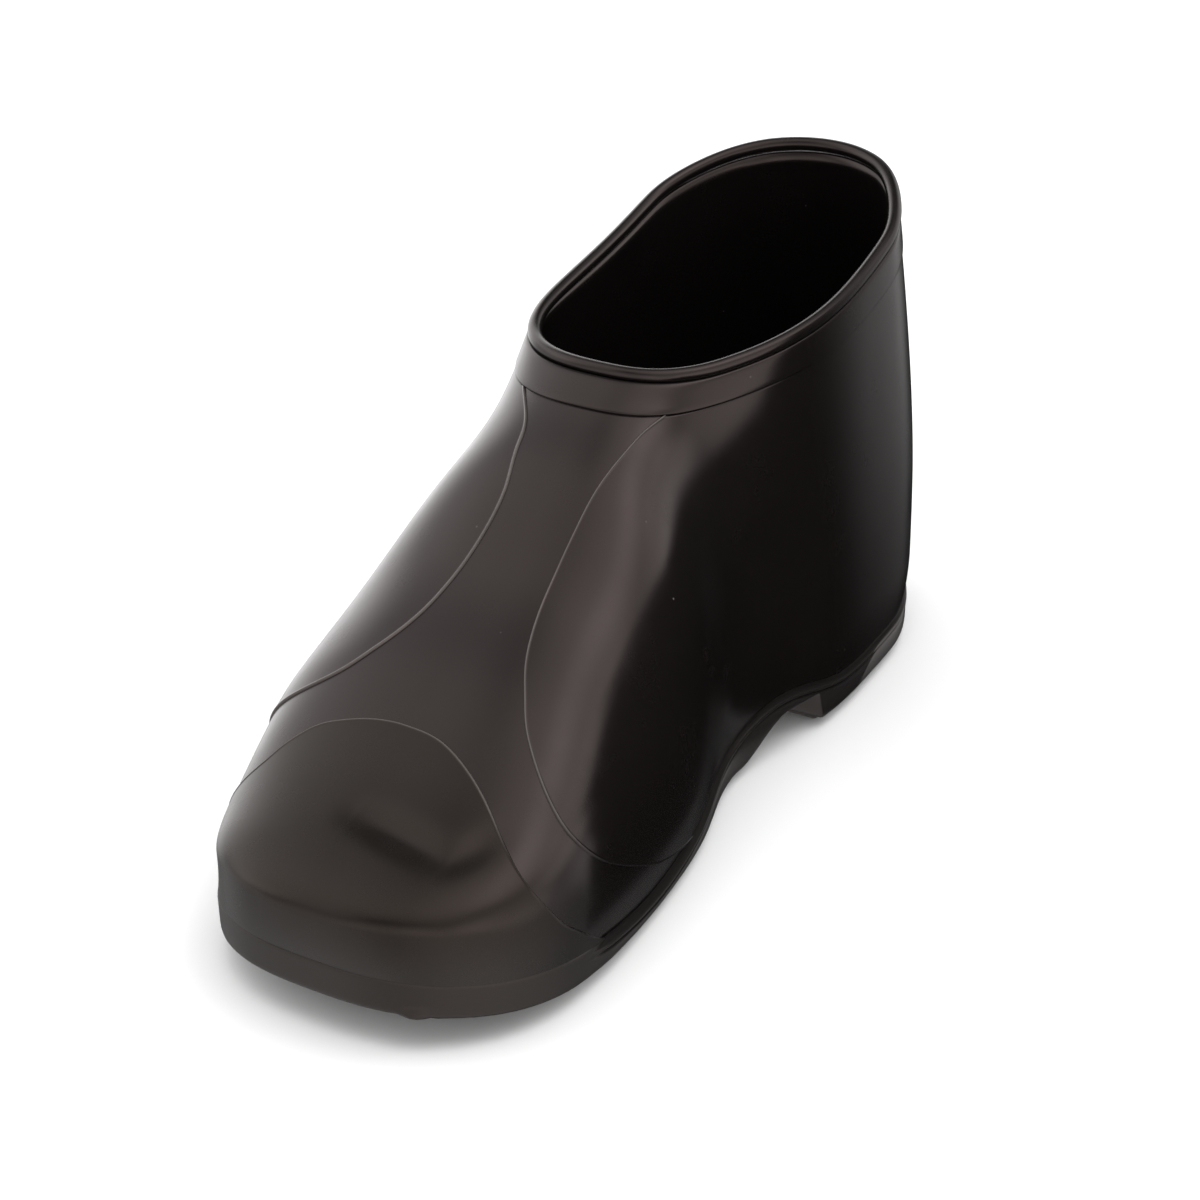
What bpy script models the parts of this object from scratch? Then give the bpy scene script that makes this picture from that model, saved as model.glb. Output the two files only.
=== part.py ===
"""Rubber overshoe for the right foot, standing empty on its sole.

The frame is in metres with +Z up. The toe points along -Y, the heel along +Y, and +X is the inner
(medial) side of the foot. The origin is on the floor, under the middle of the shoe's box.

Every dimension and table below is in millimetres. A station is a distance forward from the heel, and
an angle runs round the shoe from 0 at the toe to 180 degrees at the heel. The shoe's outside is one
function, surface(level, angle): level 0 is the feather line, where the upper meets the sole, and
level 1 is the top of the collar. Upper, overlays, collar band and sole rim are all cut from it.
"""
import math
from collections import namedtuple

import bmesh
import bpy
import numpy as np

MM = 0.001

# Main sizes
LENGTH = 326.0
BOX_MIDDLE_X = -0.53
BOX_MIDDLE_Y = -0.33
LUG_DEPTH = 3.5
SOLE_SHEET = 3.0
RIM_HEIGHT = 11.0
RIM_DIP = 4.6
RIM_DIP_STATION = 228.0
RIM_DIP_SPREAD = 42.0
RIM_WALL = 3.4
UPPER_WALL = 2.0
PIECE_GAP = 0.3
PANEL_WALL = 0.9
PANEL_TOP = 0.997
CAP_GAP = 0.95
CAP_WALL = 0.9

# Side profile of the sole: toe spring, heel breast, waist recess and the lift of the feather line
TOE_SPRING = 9.7
SPRING_START = 225.0
BREAST_STATION = 110.0
BREAST_RUN = 3.0
WAIST_RISE = 11.0
WAIST_END = 127.0
WAIST_SLOPE = 24.0
ARCH_LIFT = 7.5
ARCH_STATION = 130.0
ARCH_SPREAD = 24.0

# Collar: rolled bead on top of a flat band
FLARE_START = 142.0
FLARE_UNIT = 180.0
BEAD_RADIUS = 2.3
BEAD_OUT = -0.2
BAND_WIDTH = 12.0
BAND_WALL = 1.1
BAND_NECK = 0.3
BAND_NECK_RING = 1.93
BEAD_TURNS = (-40.0, 0.0, 45.0, 90.0, 135.0, 180.0, 220.0)

# Rounding of the outside in plan, at the back and over the toe
TOE_ROUND_START = 269.0
TOE_ROUND_POWER = 2.6
HEEL_ROUND = 56.0
HEEL_ROUND_POWER = 2.05
BACK_WAIST_HEIGHT = 58.5
BACK_HEIGHT_UNIT = 55.0
BACK_LEAN_LOW = 4.0
BACK_LEAN_HIGH = 8.2
BACK_LEAN_POWER = 1.6
BACK_LEAN_LENGTH = 90.0
OUTER_TOE_POWER = 2.9
OUTER_TOE_START = 250.0
OUTER_TOE_LENGTH = 55.0
OUTER_TOE_LEAN = 4.8
OUTER_CROWN_DROP = 0.7
NOSE_HEIGHT = 29.0
NOSE_TUCK = 1.9
NOSE_TUCK_HEIGHT = 15.0
NOSE_TUCK_START = 240.0
NOSE_TUCK_LENGTH = 80.0
NOSE_ROUND = 58.5
NOSE_ROUND_POWER = 2.45
SWELL = 1.6
SWELL_HEIGHT = 16.0
SWELL_FADE = 20.0
CROWN_POWER = 2.57
TOE_CROWN_POWER = 2.77
TOE_CROWN_START = 200.0
TOE_CROWN_LENGTH = 80.0

# Side rib of the sole, under the feather line; it fades out where the toe cap starts
RIB_OUT = 1.2
RIB_TOP = 2.1
RIB_BOTTOM = 3.7
RIB_FOOT = 4.4
RIB_START_ANGLE = 47.0
RIB_FADE_ANGLE = 6.0

# Half-breadths of the sole's outline, sideways shift of its centre and height of the top line
Section = namedtuple("Section", "station lateral medial centre ridge")
SECTIONS = (
    Section(0.0, 41.0, 38.0, 0.0, 333.5),
    Section(25.0, 42.0, 39.5, 0.0, 309.7),
    Section(50.0, 44.9, 43.5, 0.0, 284.4),
    Section(75.0, 45.9, 45.9, 0.0, 256.3),
    Section(105.0, 47.1, 46.8, 0.0, 220.0),
    Section(130.0, 49.1, 43.0, 0.0, 181.0),
    Section(155.0, 52.4, 39.4, 0.1, 141.5),
    Section(190.0, 58.7, 48.0, 0.9, 116.5),
    Section(220.0, 63.4, 53.2, 1.8, 94.5),
    Section(250.0, 62.3, 55.9, 2.8, 78.9),
    Section(285.0, 57.7, 56.7, 4.0, 61.0),
    Section(326.0, 52.1, 52.9, 5.4, 50.3),
)

# Height of the top of the collar
CollarRow = namedtuple("CollarRow", "station height")
COLLAR = (
    CollarRow(0.0, 169.5),
    CollarRow(35.0, 161.0),
    CollarRow(60.0, 153.5),
    CollarRow(90.0, 146.0),
    CollarRow(155.0, 136.1),
    CollarRow(326.0, 112.0),
)

# Front edge of the quarter panel: angle from the toe at fractions of the height from the feather line
# to the collar band
QuarterRow = namedtuple("QuarterRow", "fraction lateral medial")
QUARTER_LINE = (
    QuarterRow(0.0, 73.0, 73.0),
    QuarterRow(0.04, 67.0, 66.0),
    QuarterRow(0.1, 57.0, 55.5),
    QuarterRow(0.15, 47.5, 41.5),
    QuarterRow(0.19, 39.5, 29.0),
    QuarterRow(0.24, 30.0, 20.5),
    QuarterRow(0.285, 22.0, 15.2),
    QuarterRow(0.34, 14.0, 11.3),
    QuarterRow(0.43, 9.1, 8.2),
    QuarterRow(0.56, 6.2, 5.9),
    QuarterRow(0.7, 4.6, 6.6),
    QuarterRow(0.85, 7.0, 10.4),
    QuarterRow(0.97, 20.0, 17.3),
    QuarterRow(1.0, 25.5, 20.0),
)

# Rear edge of the toe cap: fraction of the same height at shares of the quarter line's angle. From
# the last share the cap's edge runs straight down to the feather line.
CapRow = namedtuple("CapRow", "share lateral medial")
CAP_LINE = (
    CapRow(0.0, 0.292, 0.289),
    CapRow(0.15, 0.29, 0.282),
    CapRow(0.3, 0.276, 0.259),
    CapRow(0.4, 0.243, 0.232),
    CapRow(0.46, 0.197, 0.203),
    CapRow(0.5, 0.15, 0.163),
    CapRow(0.54, 0.117, 0.121),
    CapRow(0.6, 0.091, 0.093),
    CapRow(0.67, 0.066, 0.067),
)
CAP_COLUMNS = (0.0, 0.08, 0.16, 0.24, 0.32, 0.38, 0.43, 0.47, 0.5, 0.53, 0.57, 0.62, 0.67)
CAP_ROWS = (0.0, 0.05, 0.1, 0.14, 0.18, 0.23, 0.29, 0.37, 0.48, 0.62, 0.8, 1.0)

# Grid of the outside: heights as fractions up to the collar band, stations of the quarter's columns at
# the feather line, and the number of columns from the toe to the quarter line on each side
FRACTIONS = (0.0, 0.03, 0.07, 0.12, 0.18, 0.25, 0.33, 0.43, 0.55, 0.68, 0.82, 0.93, 1.0)
BAND_ROWS = 2
QUARTER_STATIONS = (190.0, 170.0, 151.0, 138.0, 127.0, 118.0, 113.0, 110.0, 107.0, 95.0, 79.0, 63.0,
                    48.0, 34.0, 22.0, 12.0, 5.5)
VAMP_COLUMNS = 9
SOLE_COLUMNS = 6

# Lugs. Across is measured from the middle of the shoe, positive on the inner side.
# A cleat is a tooth at the sole's edge; it tapers from its inner end to its outer end.
CleatRow = namedtuple("CleatRow", "rear front inner outer")
CLEATS = (
    CleatRow(37.0, 48.0, -21.0, -38.5),
    CleatRow(54.0, 66.0, -21.0, -41.0),
    CleatRow(72.0, 85.0, -21.0, -41.0),
    CleatRow(89.0, 100.0, -21.0, -41.0),
    CleatRow(44.0, 57.0, 28.0, 39.5),
    CleatRow(62.0, 75.0, 29.0, 42.5),
    CleatRow(80.0, 93.0, 29.0, 43.0),
    CleatRow(97.0, 107.0, 29.0, 43.0),
    CleatRow(169.0, 178.0, -26.0, -49.0),
    CleatRow(185.0, 194.0, -28.0, -51.5),
    CleatRow(200.0, 209.0, -29.0, -53.0),
    CleatRow(215.0, 225.0, -28.0, -53.5),
    CleatRow(231.0, 240.0, -27.0, -53.0),
    CleatRow(247.0, 256.0, -25.0, -51.5),
    CleatRow(262.0, 272.0, -21.0, -48.5),
    CleatRow(279.0, 290.0, -13.0, -44.0),
    CleatRow(174.0, 186.0, 29.0, 41.5),
    CleatRow(188.0, 201.0, 33.0, 46.0),
    CleatRow(204.0, 216.0, 37.0, 50.0),
    CleatRow(219.0, 231.0, 39.0, 53.0),
    CleatRow(236.0, 247.0, 40.0, 55.5),
    CleatRow(251.0, 262.0, 39.0, 56.5),
    CleatRow(266.0, 278.0, 37.0, 55.0),
    CleatRow(280.0, 293.0, 32.0, 52.0),
)
CLEAT_TIP = 5.0
CLEAT_BELLY = 0.3
CLEAT_FRONT_CUT = 1.2
CLEAT_REAR_CUT = 1.5

# A bar is a lug of even width along two or three points, each a station and a distance across.
BAR_WIDTH = 8.5
BAR_CUT = 1.8
BAR_OVERRUN = 0.1
BARS = (
    ((23.0, -4.0), (31.0, 6.0), (29.0, 15.0)),
    ((38.0, -13.0), (46.5, -1.0)),
    ((50.0, 9.0), (46.0, 22.0)),
    ((59.0, -17.0), (72.5, 3.0), (65.0, 24.0)),
    ((78.0, -16.0), (86.5, -1.5)),
    ((88.5, 8.5), (84.0, 23.0)),
    ((97.0, -18.0), (104.5, 4.0), (100.5, 23.0)),
    ((169.5, -20.0), (179.5, 2.0), (174.5, 23.0)),
    ((183.0, -21.0), (191.5, -1.0)),
    ((191.5, 7.0), (187.0, 27.0)),
    ((198.5, -22.0), (208.5, 3.0), (203.5, 31.0)),
    ((213.0, -21.0), (222.5, 3.0)),
    ((223.0, 10.5), (217.0, 33.0)),
    ((229.5, -21.0), (241.5, 9.0), (234.0, 33.0)),
    ((246.0, -18.0), (254.5, 6.0)),
    ((255.5, 13.5), (249.0, 34.0)),
    ((260.5, -14.0), (271.5, 11.0), (265.5, 31.0)),
    ((276.5, -6.0), (283.5, 8.0)),
    ((284.5, 16.0), (280.0, 28.0)),
)

# Outlines of the heel's rear pad (its front edge) and of the toe pad, as stations and distances across.
HEEL_PAD_EDGE = ((27.0, -30.5), (30.0, -18.0), (15.5, -6.5), (22.0, 6.5), (19.0, 14.5), (37.0, 27.0),
                 (38.0, 35.5))
TOE_PAD_EDGE = ((300.0, -28.0), (295.0, -12.0), (293.5, 6.0), (296.0, 26.0), (300.0, 44.0))
PAD_MARGIN = 4.5
HEEL_PAD_DEGREES = (145.0, 154.0, 162.0, 171.0, 180.0, 189.0, 198.0, 206.0)
TOE_PAD_DEGREES = (27.0, 18.0, 9.0, 0.0, -8.0, -16.0, -23.0)
LUG_SINK = 0.8

# Colour and roughness of the rubber
UPPER_COLOUR = (0.022, 0.019, 0.019)
UPPER_ROUGHNESS = 0.34
SOLE_COLOUR = (0.03, 0.026, 0.024)
SOLE_ROUGHNESS = 0.5
CAP_COLOUR = (0.026, 0.024, 0.021)
CAP_ROUGHNESS = 0.45


def smooth(value):
    """Ease from 0 to 1 while value goes from 0 to 1."""
    t = np.clip(value, 0.0, 1.0)
    return t * t * (3.0 - 2.0 * t)


def rounded(value, power):
    """Superellipse fall from 1 to 0 while value goes from 0 to 1."""
    return (1.0 - np.clip(value, 0.0, 1.0) ** power) ** (1.0 / power)


class Curve:
    """Natural cubic through the rows of a table: one column against another."""

    def __init__(self, places, values):
        self.places = np.asarray(places, float)
        self.values = np.asarray(values, float)
        count = len(self.places)
        self.steps = np.diff(self.places)
        matrix = np.eye(count)
        right = np.zeros(count)
        for i in range(1, count - 1):
            before, after = self.steps[i - 1], self.steps[i]
            matrix[i, i - 1:i + 2] = before, 2.0 * (before + after), after
            rise_after = (self.values[i + 1] - self.values[i]) / after
            rise_before = (self.values[i] - self.values[i - 1]) / before
            right[i] = 6.0 * (rise_after - rise_before)
        self.bends = np.linalg.solve(matrix, right)

    def __call__(self, place):
        place = np.asarray(place, float)
        i = np.clip(np.searchsorted(self.places, place) - 1, 0, len(self.places) - 2)
        step = self.steps[i]
        near = (self.places[i + 1] - place) / step
        far = (place - self.places[i]) / step
        bend = (near ** 3 - near) * self.bends[i] + (far ** 3 - far) * self.bends[i + 1]
        return near * self.values[i] + far * self.values[i + 1] + bend * step * step / 6.0


def column(rows, name):
    return [getattr(row, name) for row in rows]


STATIONS = column(SECTIONS, "station")
lateral_breadth = Curve(STATIONS, column(SECTIONS, "lateral"))
medial_breadth = Curve(STATIONS, column(SECTIONS, "medial"))
centre = Curve(STATIONS, column(SECTIONS, "centre"))
ridge_height = Curve(STATIONS, column(SECTIONS, "ridge"))
collar_line = Curve(column(COLLAR, "station"), column(COLLAR, "height"))


def spring(station):
    """Lift of the sole towards the toe."""
    t = np.clip((station - SPRING_START) / (LENGTH - SPRING_START), 0.0, 1.0)
    return TOE_SPRING * t * t


def waist(station):
    """1 in the recess under the arch, 0 at heel and forepart: steep at the heel breast."""
    behind = smooth((station - BREAST_STATION) / BREAST_RUN)
    ahead = smooth((station - WAIST_END) / WAIST_SLOPE)
    return behind * (1.0 - ahead)


def sole_underside(station):
    """Height of the sole sheet's underside, which the lugs stand on."""
    return LUG_DEPTH + spring(station) + WAIST_RISE * waist(station)


def sole_inside(station):
    """Height of the floor inside the shoe."""
    shifted = station + SOLE_SHEET * waist(station + SOLE_SHEET)
    return LUG_DEPTH + SOLE_SHEET + spring(station) + WAIST_RISE * waist(shifted)


def feather(station):
    """Height of the line where the upper meets the sole."""
    arch = ARCH_LIFT * np.exp(-(((station - ARCH_STATION) / ARCH_SPREAD) ** 2))
    dip = RIM_DIP * np.exp(-(((station - RIM_DIP_STATION) / RIM_DIP_SPREAD) ** 2))
    return LUG_DEPTH + spring(station) + RIM_HEIGHT + arch - dip


def collar_top(station):
    """Height of the collar's sheet: the collar itself, and its flare over the vamp."""
    flare = np.clip(station - FLARE_START, 0.0, None) ** 2 / FLARE_UNIT
    return collar_line(station) + flare


def sheet(level, station):
    """Height at a station of the sheet that cuts the outside in the loop of this level."""
    low = feather(station)
    return low + level * (collar_top(station) - low)


def plan_station(station, height):
    """Station in plan after the lean of the heel's back and the tuck under the toe's nose."""
    above = (height - BACK_WAIST_HEIGHT) / BACK_HEIGHT_UNIT
    high = BACK_LEAN_HIGH * np.clip(above, 0.0, None) ** BACK_LEAN_POWER
    low = BACK_LEAN_LOW * np.clip(above, None, 0.0) ** 2
    lean = (high + low) * np.clip(1.0 - station / BACK_LEAN_LENGTH, 0.0, 1.0)
    nose = NOSE_HEIGHT + spring(LENGTH)
    under = np.clip((nose - height) / NOSE_TUCK_HEIGHT, 0.0, None)
    tuck = NOSE_TUCK * under ** 2 * np.clip((station - NOSE_TUCK_START) / NOSE_TUCK_LENGTH, 0.0, 1.0)
    return station - lean + tuck


def top_line(plan):
    """Height of the vamp's top line, rounded down to the nose of the toe."""
    nose = NOSE_HEIGHT + spring(LENGTH)
    over = (plan - (LENGTH - NOSE_ROUND)) / NOSE_ROUND
    return nose + (ridge_height(plan) - nose) * rounded(over, NOSE_ROUND_POWER)


def half_breadth(station, height, side):
    """Distance from the centre line to the outside, side +1 on the inner side and -1 on the outer."""
    plan = plan_station(station, height)
    base = np.where(side > 0, medial_breadth(plan), lateral_breadth(plan))
    toe_power = np.where(side > 0, TOE_ROUND_POWER, OUTER_TOE_POWER)
    base = base * rounded((plan - TOE_ROUND_START) / (LENGTH - TOE_ROUND_START), toe_power)
    outer_toe = np.where(side > 0, 0.0, smooth((station - OUTER_TOE_START) / OUTER_TOE_LENGTH))
    base = base * np.where(plan > 0.0, rounded((HEEL_ROUND - plan) / HEEL_ROUND, HEEL_ROUND_POWER), 0.0)
    low = feather(station)
    wide = low + SWELL_HEIGHT
    swell = (SWELL - OUTER_TOE_LEAN * outer_toe) * np.clip(base / SWELL_FADE, 0.0, 1.0)
    top = np.maximum(top_line(plan), wide + 0.001)
    up = (height - wide) / (top - wide)
    power = CROWN_POWER + (TOE_CROWN_POWER - CROWN_POWER) * smooth(
        (station - TOE_CROWN_START) / TOE_CROWN_LENGTH) - OUTER_CROWN_DROP * outer_toe
    above = (base + swell) * rounded(up, power)
    down = np.clip((wide - height) / SWELL_HEIGHT, 0.0, 1.0)
    return np.where(height > wide, above, base + swell * (1.0 - down * down))


def bisect(inside, low, high):
    """Place between low, which is inside, and high, which isn't, where the surface ends."""
    for _ in range(40):
        middle = 0.5 * (low + high)
        within = inside(middle)
        low = np.where(within, middle, low)
        high = np.where(within, high, middle)
    return 0.5 * (low + high)


def loop_ends(level):
    """Rear and front station of the loop of each level."""
    level = np.asarray(level, float)

    def inside(station):
        height = sheet(level, station)
        plan = plan_station(station, height)
        return (plan > 0.0) & (plan < LENGTH) & (height < top_line(plan))

    middle = np.full_like(level, 120.0)
    rear = bisect(inside, middle, middle - 140.0)
    front = bisect(inside, middle, middle + 220.0)
    return rear, front


def surface(level, angle):
    """Point of the outside for a level and an angle in radians, positive on the inner side."""
    level, angle = np.broadcast_arrays(np.asarray(level, float), np.asarray(angle, float))
    rear, front = loop_ends(level)
    station = rear + (front - rear) * 0.5 * (1.0 + np.cos(angle))
    height = sheet(level, station)
    side = np.where(np.sin(angle) >= 0.0, 1.0, -1.0)
    breadth = half_breadth(station, height, side)
    breadth = np.where(np.abs(np.sin(angle)) < 1e-9, 0.0, breadth)
    return np.stack([centre(station) + side * breadth, LENGTH / 2.0 - station, height], axis=-1)


def unit(vectors):
    return vectors / np.linalg.norm(vectors, axis=-1, keepdims=True)


def frame_at(level, angle):
    """Point, outward normal and upward tangent of the outside."""
    small = 0.01
    point = surface(level, angle)
    around = surface(level, np.asarray(angle) + small) - surface(level, np.asarray(angle) - small)
    upward = surface(np.asarray(level) + small, angle) - surface(np.asarray(level) - small, angle)
    normal = unit(np.cross(around, upward))
    tangent = unit(np.cross(normal, unit(around)))
    return point, normal, tangent


def shifted(level, angle, out):
    """Point of the outside moved outwards by a distance."""
    point, normal, _ = frame_at(level, angle)
    return point + normal * np.asarray(out)[..., None]


# Columns and rows of the grid

def interpolate_rows(rows, place, name):
    return Curve(column(rows, place), column(rows, name))


quarter_angle = {
    1.0: interpolate_rows(QUARTER_LINE, "fraction", "medial"),
    -1.0: interpolate_rows(QUARTER_LINE, "fraction", "lateral"),
}
cap_fraction = {
    1.0: interpolate_rows(CAP_LINE, "share", "medial"),
    -1.0: interpolate_rows(CAP_LINE, "share", "lateral"),
}


def level_below_collar(angle, distance):
    """Level at a distance down the outside from the top of the collar."""
    levels = np.linspace(1.0, 0.6, 61)
    points = surface(levels[:, None], angle[None])
    steps = np.linalg.norm(np.diff(points, axis=0), axis=-1)
    lengths = np.concatenate([np.zeros((1, len(angle))), np.cumsum(steps, axis=0)])
    return np.array([np.interp(distance, lengths[:, i], levels) for i in range(len(angle))])


ANGLE_TABLE = np.radians(np.arange(-180.0, 181.0, 6.0))
BAND_LEVELS = level_below_collar(ANGLE_TABLE, BAND_WIDTH + 2.0 * BEAD_RADIUS)
BEAD_LEVELS = level_below_collar(ANGLE_TABLE, 2.0 * BEAD_RADIUS + PIECE_GAP)


def wrapped(angle):
    return (angle + math.pi) % (2.0 * math.pi) - math.pi


def band_level(angle):
    return np.interp(wrapped(angle), ANGLE_TABLE, BAND_LEVELS)


def bead_level(angle):
    return np.interp(wrapped(angle), ANGLE_TABLE, BEAD_LEVELS)


def quarter_shares():
    """Share of the way from the quarter line to the heel, for each of the quarter's columns."""
    rear, front = loop_ends(0.0)
    cosine = 2.0 * (np.array(QUARTER_STATIONS) - rear) / (front - rear) - 1.0
    start = math.radians(QUARTER_LINE[0].medial)
    shares = (np.arccos(cosine) - start) / (math.pi - start)
    return np.concatenate([[0.0], shares, [1.0]])


def side_angles(fraction, side):
    """Angles of the columns on one side, from the toe to the heel."""
    line = math.radians(float(quarter_angle[side](fraction)))
    vamp = line * np.arange(VAMP_COLUMNS) / VAMP_COLUMNS
    quarter = line + (math.pi - line) * quarter_shares()
    return np.concatenate([vamp, quarter])


def ring_angles(fraction):
    """Angles of all columns, from the toe over the inner side to the heel and back to the toe."""
    inner = side_angles(fraction, 1.0)
    outer = 2.0 * math.pi - side_angles(fraction, -1.0)
    return np.concatenate([inner, outer[-2:0:-1]])


def ring_levels(fraction, angles):
    """Levels of a ring: fractions over 1 run on from the band's lower edge to the bead."""
    if fraction <= 1.0:
        return fraction * band_level(angles)
    return band_level(angles) + (fraction - 1.0) * (bead_level(angles) - band_level(angles))


def ring(fraction, out):
    angles = ring_angles(min(fraction, 1.0))
    return shifted(ring_levels(fraction, angles), angles, np.full(len(angles), out))


# Meshes

def new_object(name, points, faces, material):
    """One closed mesh in metres, with the origin under the middle of the whole shoe's box."""
    mesh = bpy.data.meshes.new(name)
    placed = (np.array(points, float) - (BOX_MIDDLE_X, BOX_MIDDLE_Y, 0.0)) * MM
    mesh.from_pydata(placed.tolist(), [], faces)
    mesh.validate()
    mesh.shade_smooth()
    mesh.set_sharp_from_angle(angle=math.radians(35.0))
    mesh.materials.append(material)
    made = bpy.data.objects.new(name, mesh)
    bpy.context.scene.collection.objects.link(made)
    return made


def rubber(name, colour, roughness):
    material = bpy.data.materials.new(name)
    material.use_nodes = True
    shader = material.node_tree.nodes["Principled BSDF"]
    shader.inputs["Base Color"].default_value = (*colour, 1.0)
    shader.inputs["Roughness"].default_value = roughness
    shader.inputs["Metallic"].default_value = 0.0
    return material


def looped_solid(name, rings, way_down, material):
    """Solid whose section is a closed row of rings: an endless band, open through its middle.

    The rings climb up the outer side, and from number way_down on they come down the inner side. Each
    cell is split from its lower first corner to its upper second one, as the overlays' cells are.
    """
    count = len(rings[0])
    points = np.concatenate(rings)
    faces = []
    for row in range(len(rings)):
        after = (row + 1) % len(rings)
        for k in range(count):
            nxt = (k + 1) % count
            a, b = row * count + k, row * count + nxt
            d, e = after * count + k, after * count + nxt
            faces += [(a, b, d), (b, e, d)] if row >= way_down else [(a, b, e), (a, e, d)]
    return new_object(name, points, faces, material)


def slab(name, outer, inner, material):
    """Thin solid between two grids of rows and columns of points."""
    rows, columns = outer.shape[:2]
    points = np.concatenate([outer.reshape(-1, 3), inner.reshape(-1, 3)])
    back = rows * columns
    faces = []
    for r in range(rows - 1):
        for c in range(columns - 1):
            a, b = r * columns + c, r * columns + c + 1
            d, e = a + columns, b + columns
            faces += [(a, b, e), (a, e, d), (back + a, back + e, back + b), (back + a, back + d, back + e)]
    border = [c for c in range(columns)]
    border += [r * columns + columns - 1 for r in range(1, rows)]
    border += [(rows - 1) * columns + c for c in range(columns - 2, -1, -1)]
    border += [r * columns for r in range(rows - 2, 0, -1)]
    for i, corner in enumerate(border):
        nxt = border[(i + 1) % len(border)]
        faces.append((corner, back + corner, back + nxt, nxt))
    return new_object(name, points, faces, material)


def make_upper(material):
    """Hollow rubber shell from the feather line to the bead, open at the collar and underneath."""
    fractions = list(FRACTIONS) + [1.0 + (i + 1) / BAND_ROWS for i in range(BAND_ROWS)]
    outside = [ring(fraction, 0.0) for fraction in fractions]
    inside = [ring(fraction, -UPPER_WALL) for fraction in reversed(fractions)]
    return looped_solid("upper", outside + inside, len(outside), material)


def make_quarter_panel(material):
    """Overlay round the rear of the shoe, from the quarter line of one side to the other's."""
    start = VAMP_COLUMNS
    stop = len(ring_angles(0.0)) - VAMP_COLUMNS + 1
    fractions = list(FRACTIONS[:-1]) + [PANEL_TOP]
    inner = np.array([ring(fraction, PIECE_GAP)[start:stop] for fraction in fractions])
    outer = np.array([ring(fraction, PIECE_GAP + PANEL_WALL)[start:stop] for fraction in fractions])
    return slab("quarter_panel", outer, inner, material)


def make_toe_cap(material):
    """Overlay over the toe, from the feather line up to its curved rear edge."""
    shares = np.array([-share for share in CAP_COLUMNS[:0:-1]] + list(CAP_COLUMNS))
    sides = np.where(shares < 0.0, -1.0, 1.0)
    edge = np.array([float(cap_fraction[side](abs(share))) for share, side in zip(shares, sides)])
    fractions = np.array(CAP_ROWS)[:, None] * edge[None]
    line = np.where(sides > 0.0, quarter_angle[1.0](fractions), quarter_angle[-1.0](fractions))
    angles = np.radians(shares * line)
    levels = fractions * band_level(angles)
    inner = shifted(levels, angles, np.full(levels.shape, CAP_GAP))
    outer = shifted(levels, angles, np.full(levels.shape, CAP_GAP + CAP_WALL))
    return slab("toe_cap", outer, inner, material)


def make_collar_band(material):
    """Flat band round the collar with the rolled bead on top, which covers the upper's edge."""
    bottom = ring(1.0, PIECE_GAP)
    rings = [bottom, ring(1.0, PIECE_GAP + BAND_WALL), ring(1.5, PIECE_GAP + BAND_WALL),
             ring(BAND_NECK_RING, PIECE_GAP + BAND_WALL - BAND_NECK)]
    angles = ring_angles(1.0)
    middle = level_below_collar(wrapped(angles), BEAD_RADIUS)
    point, normal, tangent = frame_at(middle, angles)
    hub = point + normal * BEAD_OUT
    for turn in np.radians(BEAD_TURNS):
        rings.append(hub + BEAD_RADIUS * (math.cos(turn) * normal + math.sin(turn) * tangent))
    way_down = len(rings)
    rings.append(ring(2.0, PIECE_GAP) + tangent * PIECE_GAP)
    rings.append(ring(1.5, PIECE_GAP))
    return looped_solid("collar_band", rings, way_down, material)


def outline(angles, inward=0.0):
    """Points of the sole's outline in plan, moved inwards by a distance, with their stations."""
    point, normal, _ = frame_at(np.zeros(len(angles)), angles)
    flat = unit(normal[:, :2])
    plan = point[:, :2] - flat * inward
    return plan, LENGTH / 2.0 - plan[:, 1]


def rim_ring(angles, height, out):
    """Ring of the sole's rim: a height for each column and a distance outwards."""
    plan, _ = outline(angles, -out)
    return np.column_stack([plan, height])


def rib_share(angles):
    """1 where the side rib stands, 0 over the toe."""
    turn = np.abs(np.degrees(wrapped(angles)))
    return smooth((turn - RIB_START_ANGLE) / RIB_FADE_ANGLE)[:, None]


def sole_sheet(plan, height_at, first):
    """Inner points and faces of a sheet that fills a ring, facing up; first is the ring's first index."""
    count = len(plan)
    half = count // 2
    points = []
    rows = [[first] * (SOLE_COLUMNS + 1)]
    for k in range(1, half):
        inner, outer = plan[k], plan[count - k]
        row = [first + k]
        for j in range(1, SOLE_COLUMNS):
            across = inner + (outer - inner) * j / SOLE_COLUMNS
            row.append(("new", len(points)))
            points.append((across[0], across[1], float(height_at(LENGTH / 2.0 - across[1]))))
        row.append(first + count - k)
        rows.append(row)
    rows.append([first + half] * (SOLE_COLUMNS + 1))
    faces = []
    for front, rear in zip(rows, rows[1:]):
        for j in range(SOLE_COLUMNS):
            corners = [front[j], rear[j], rear[j + 1], front[j + 1]]
            unique = [c for i, c in enumerate(corners) if c not in corners[:i]]
            faces.append(unique)
    return points, faces


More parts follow.
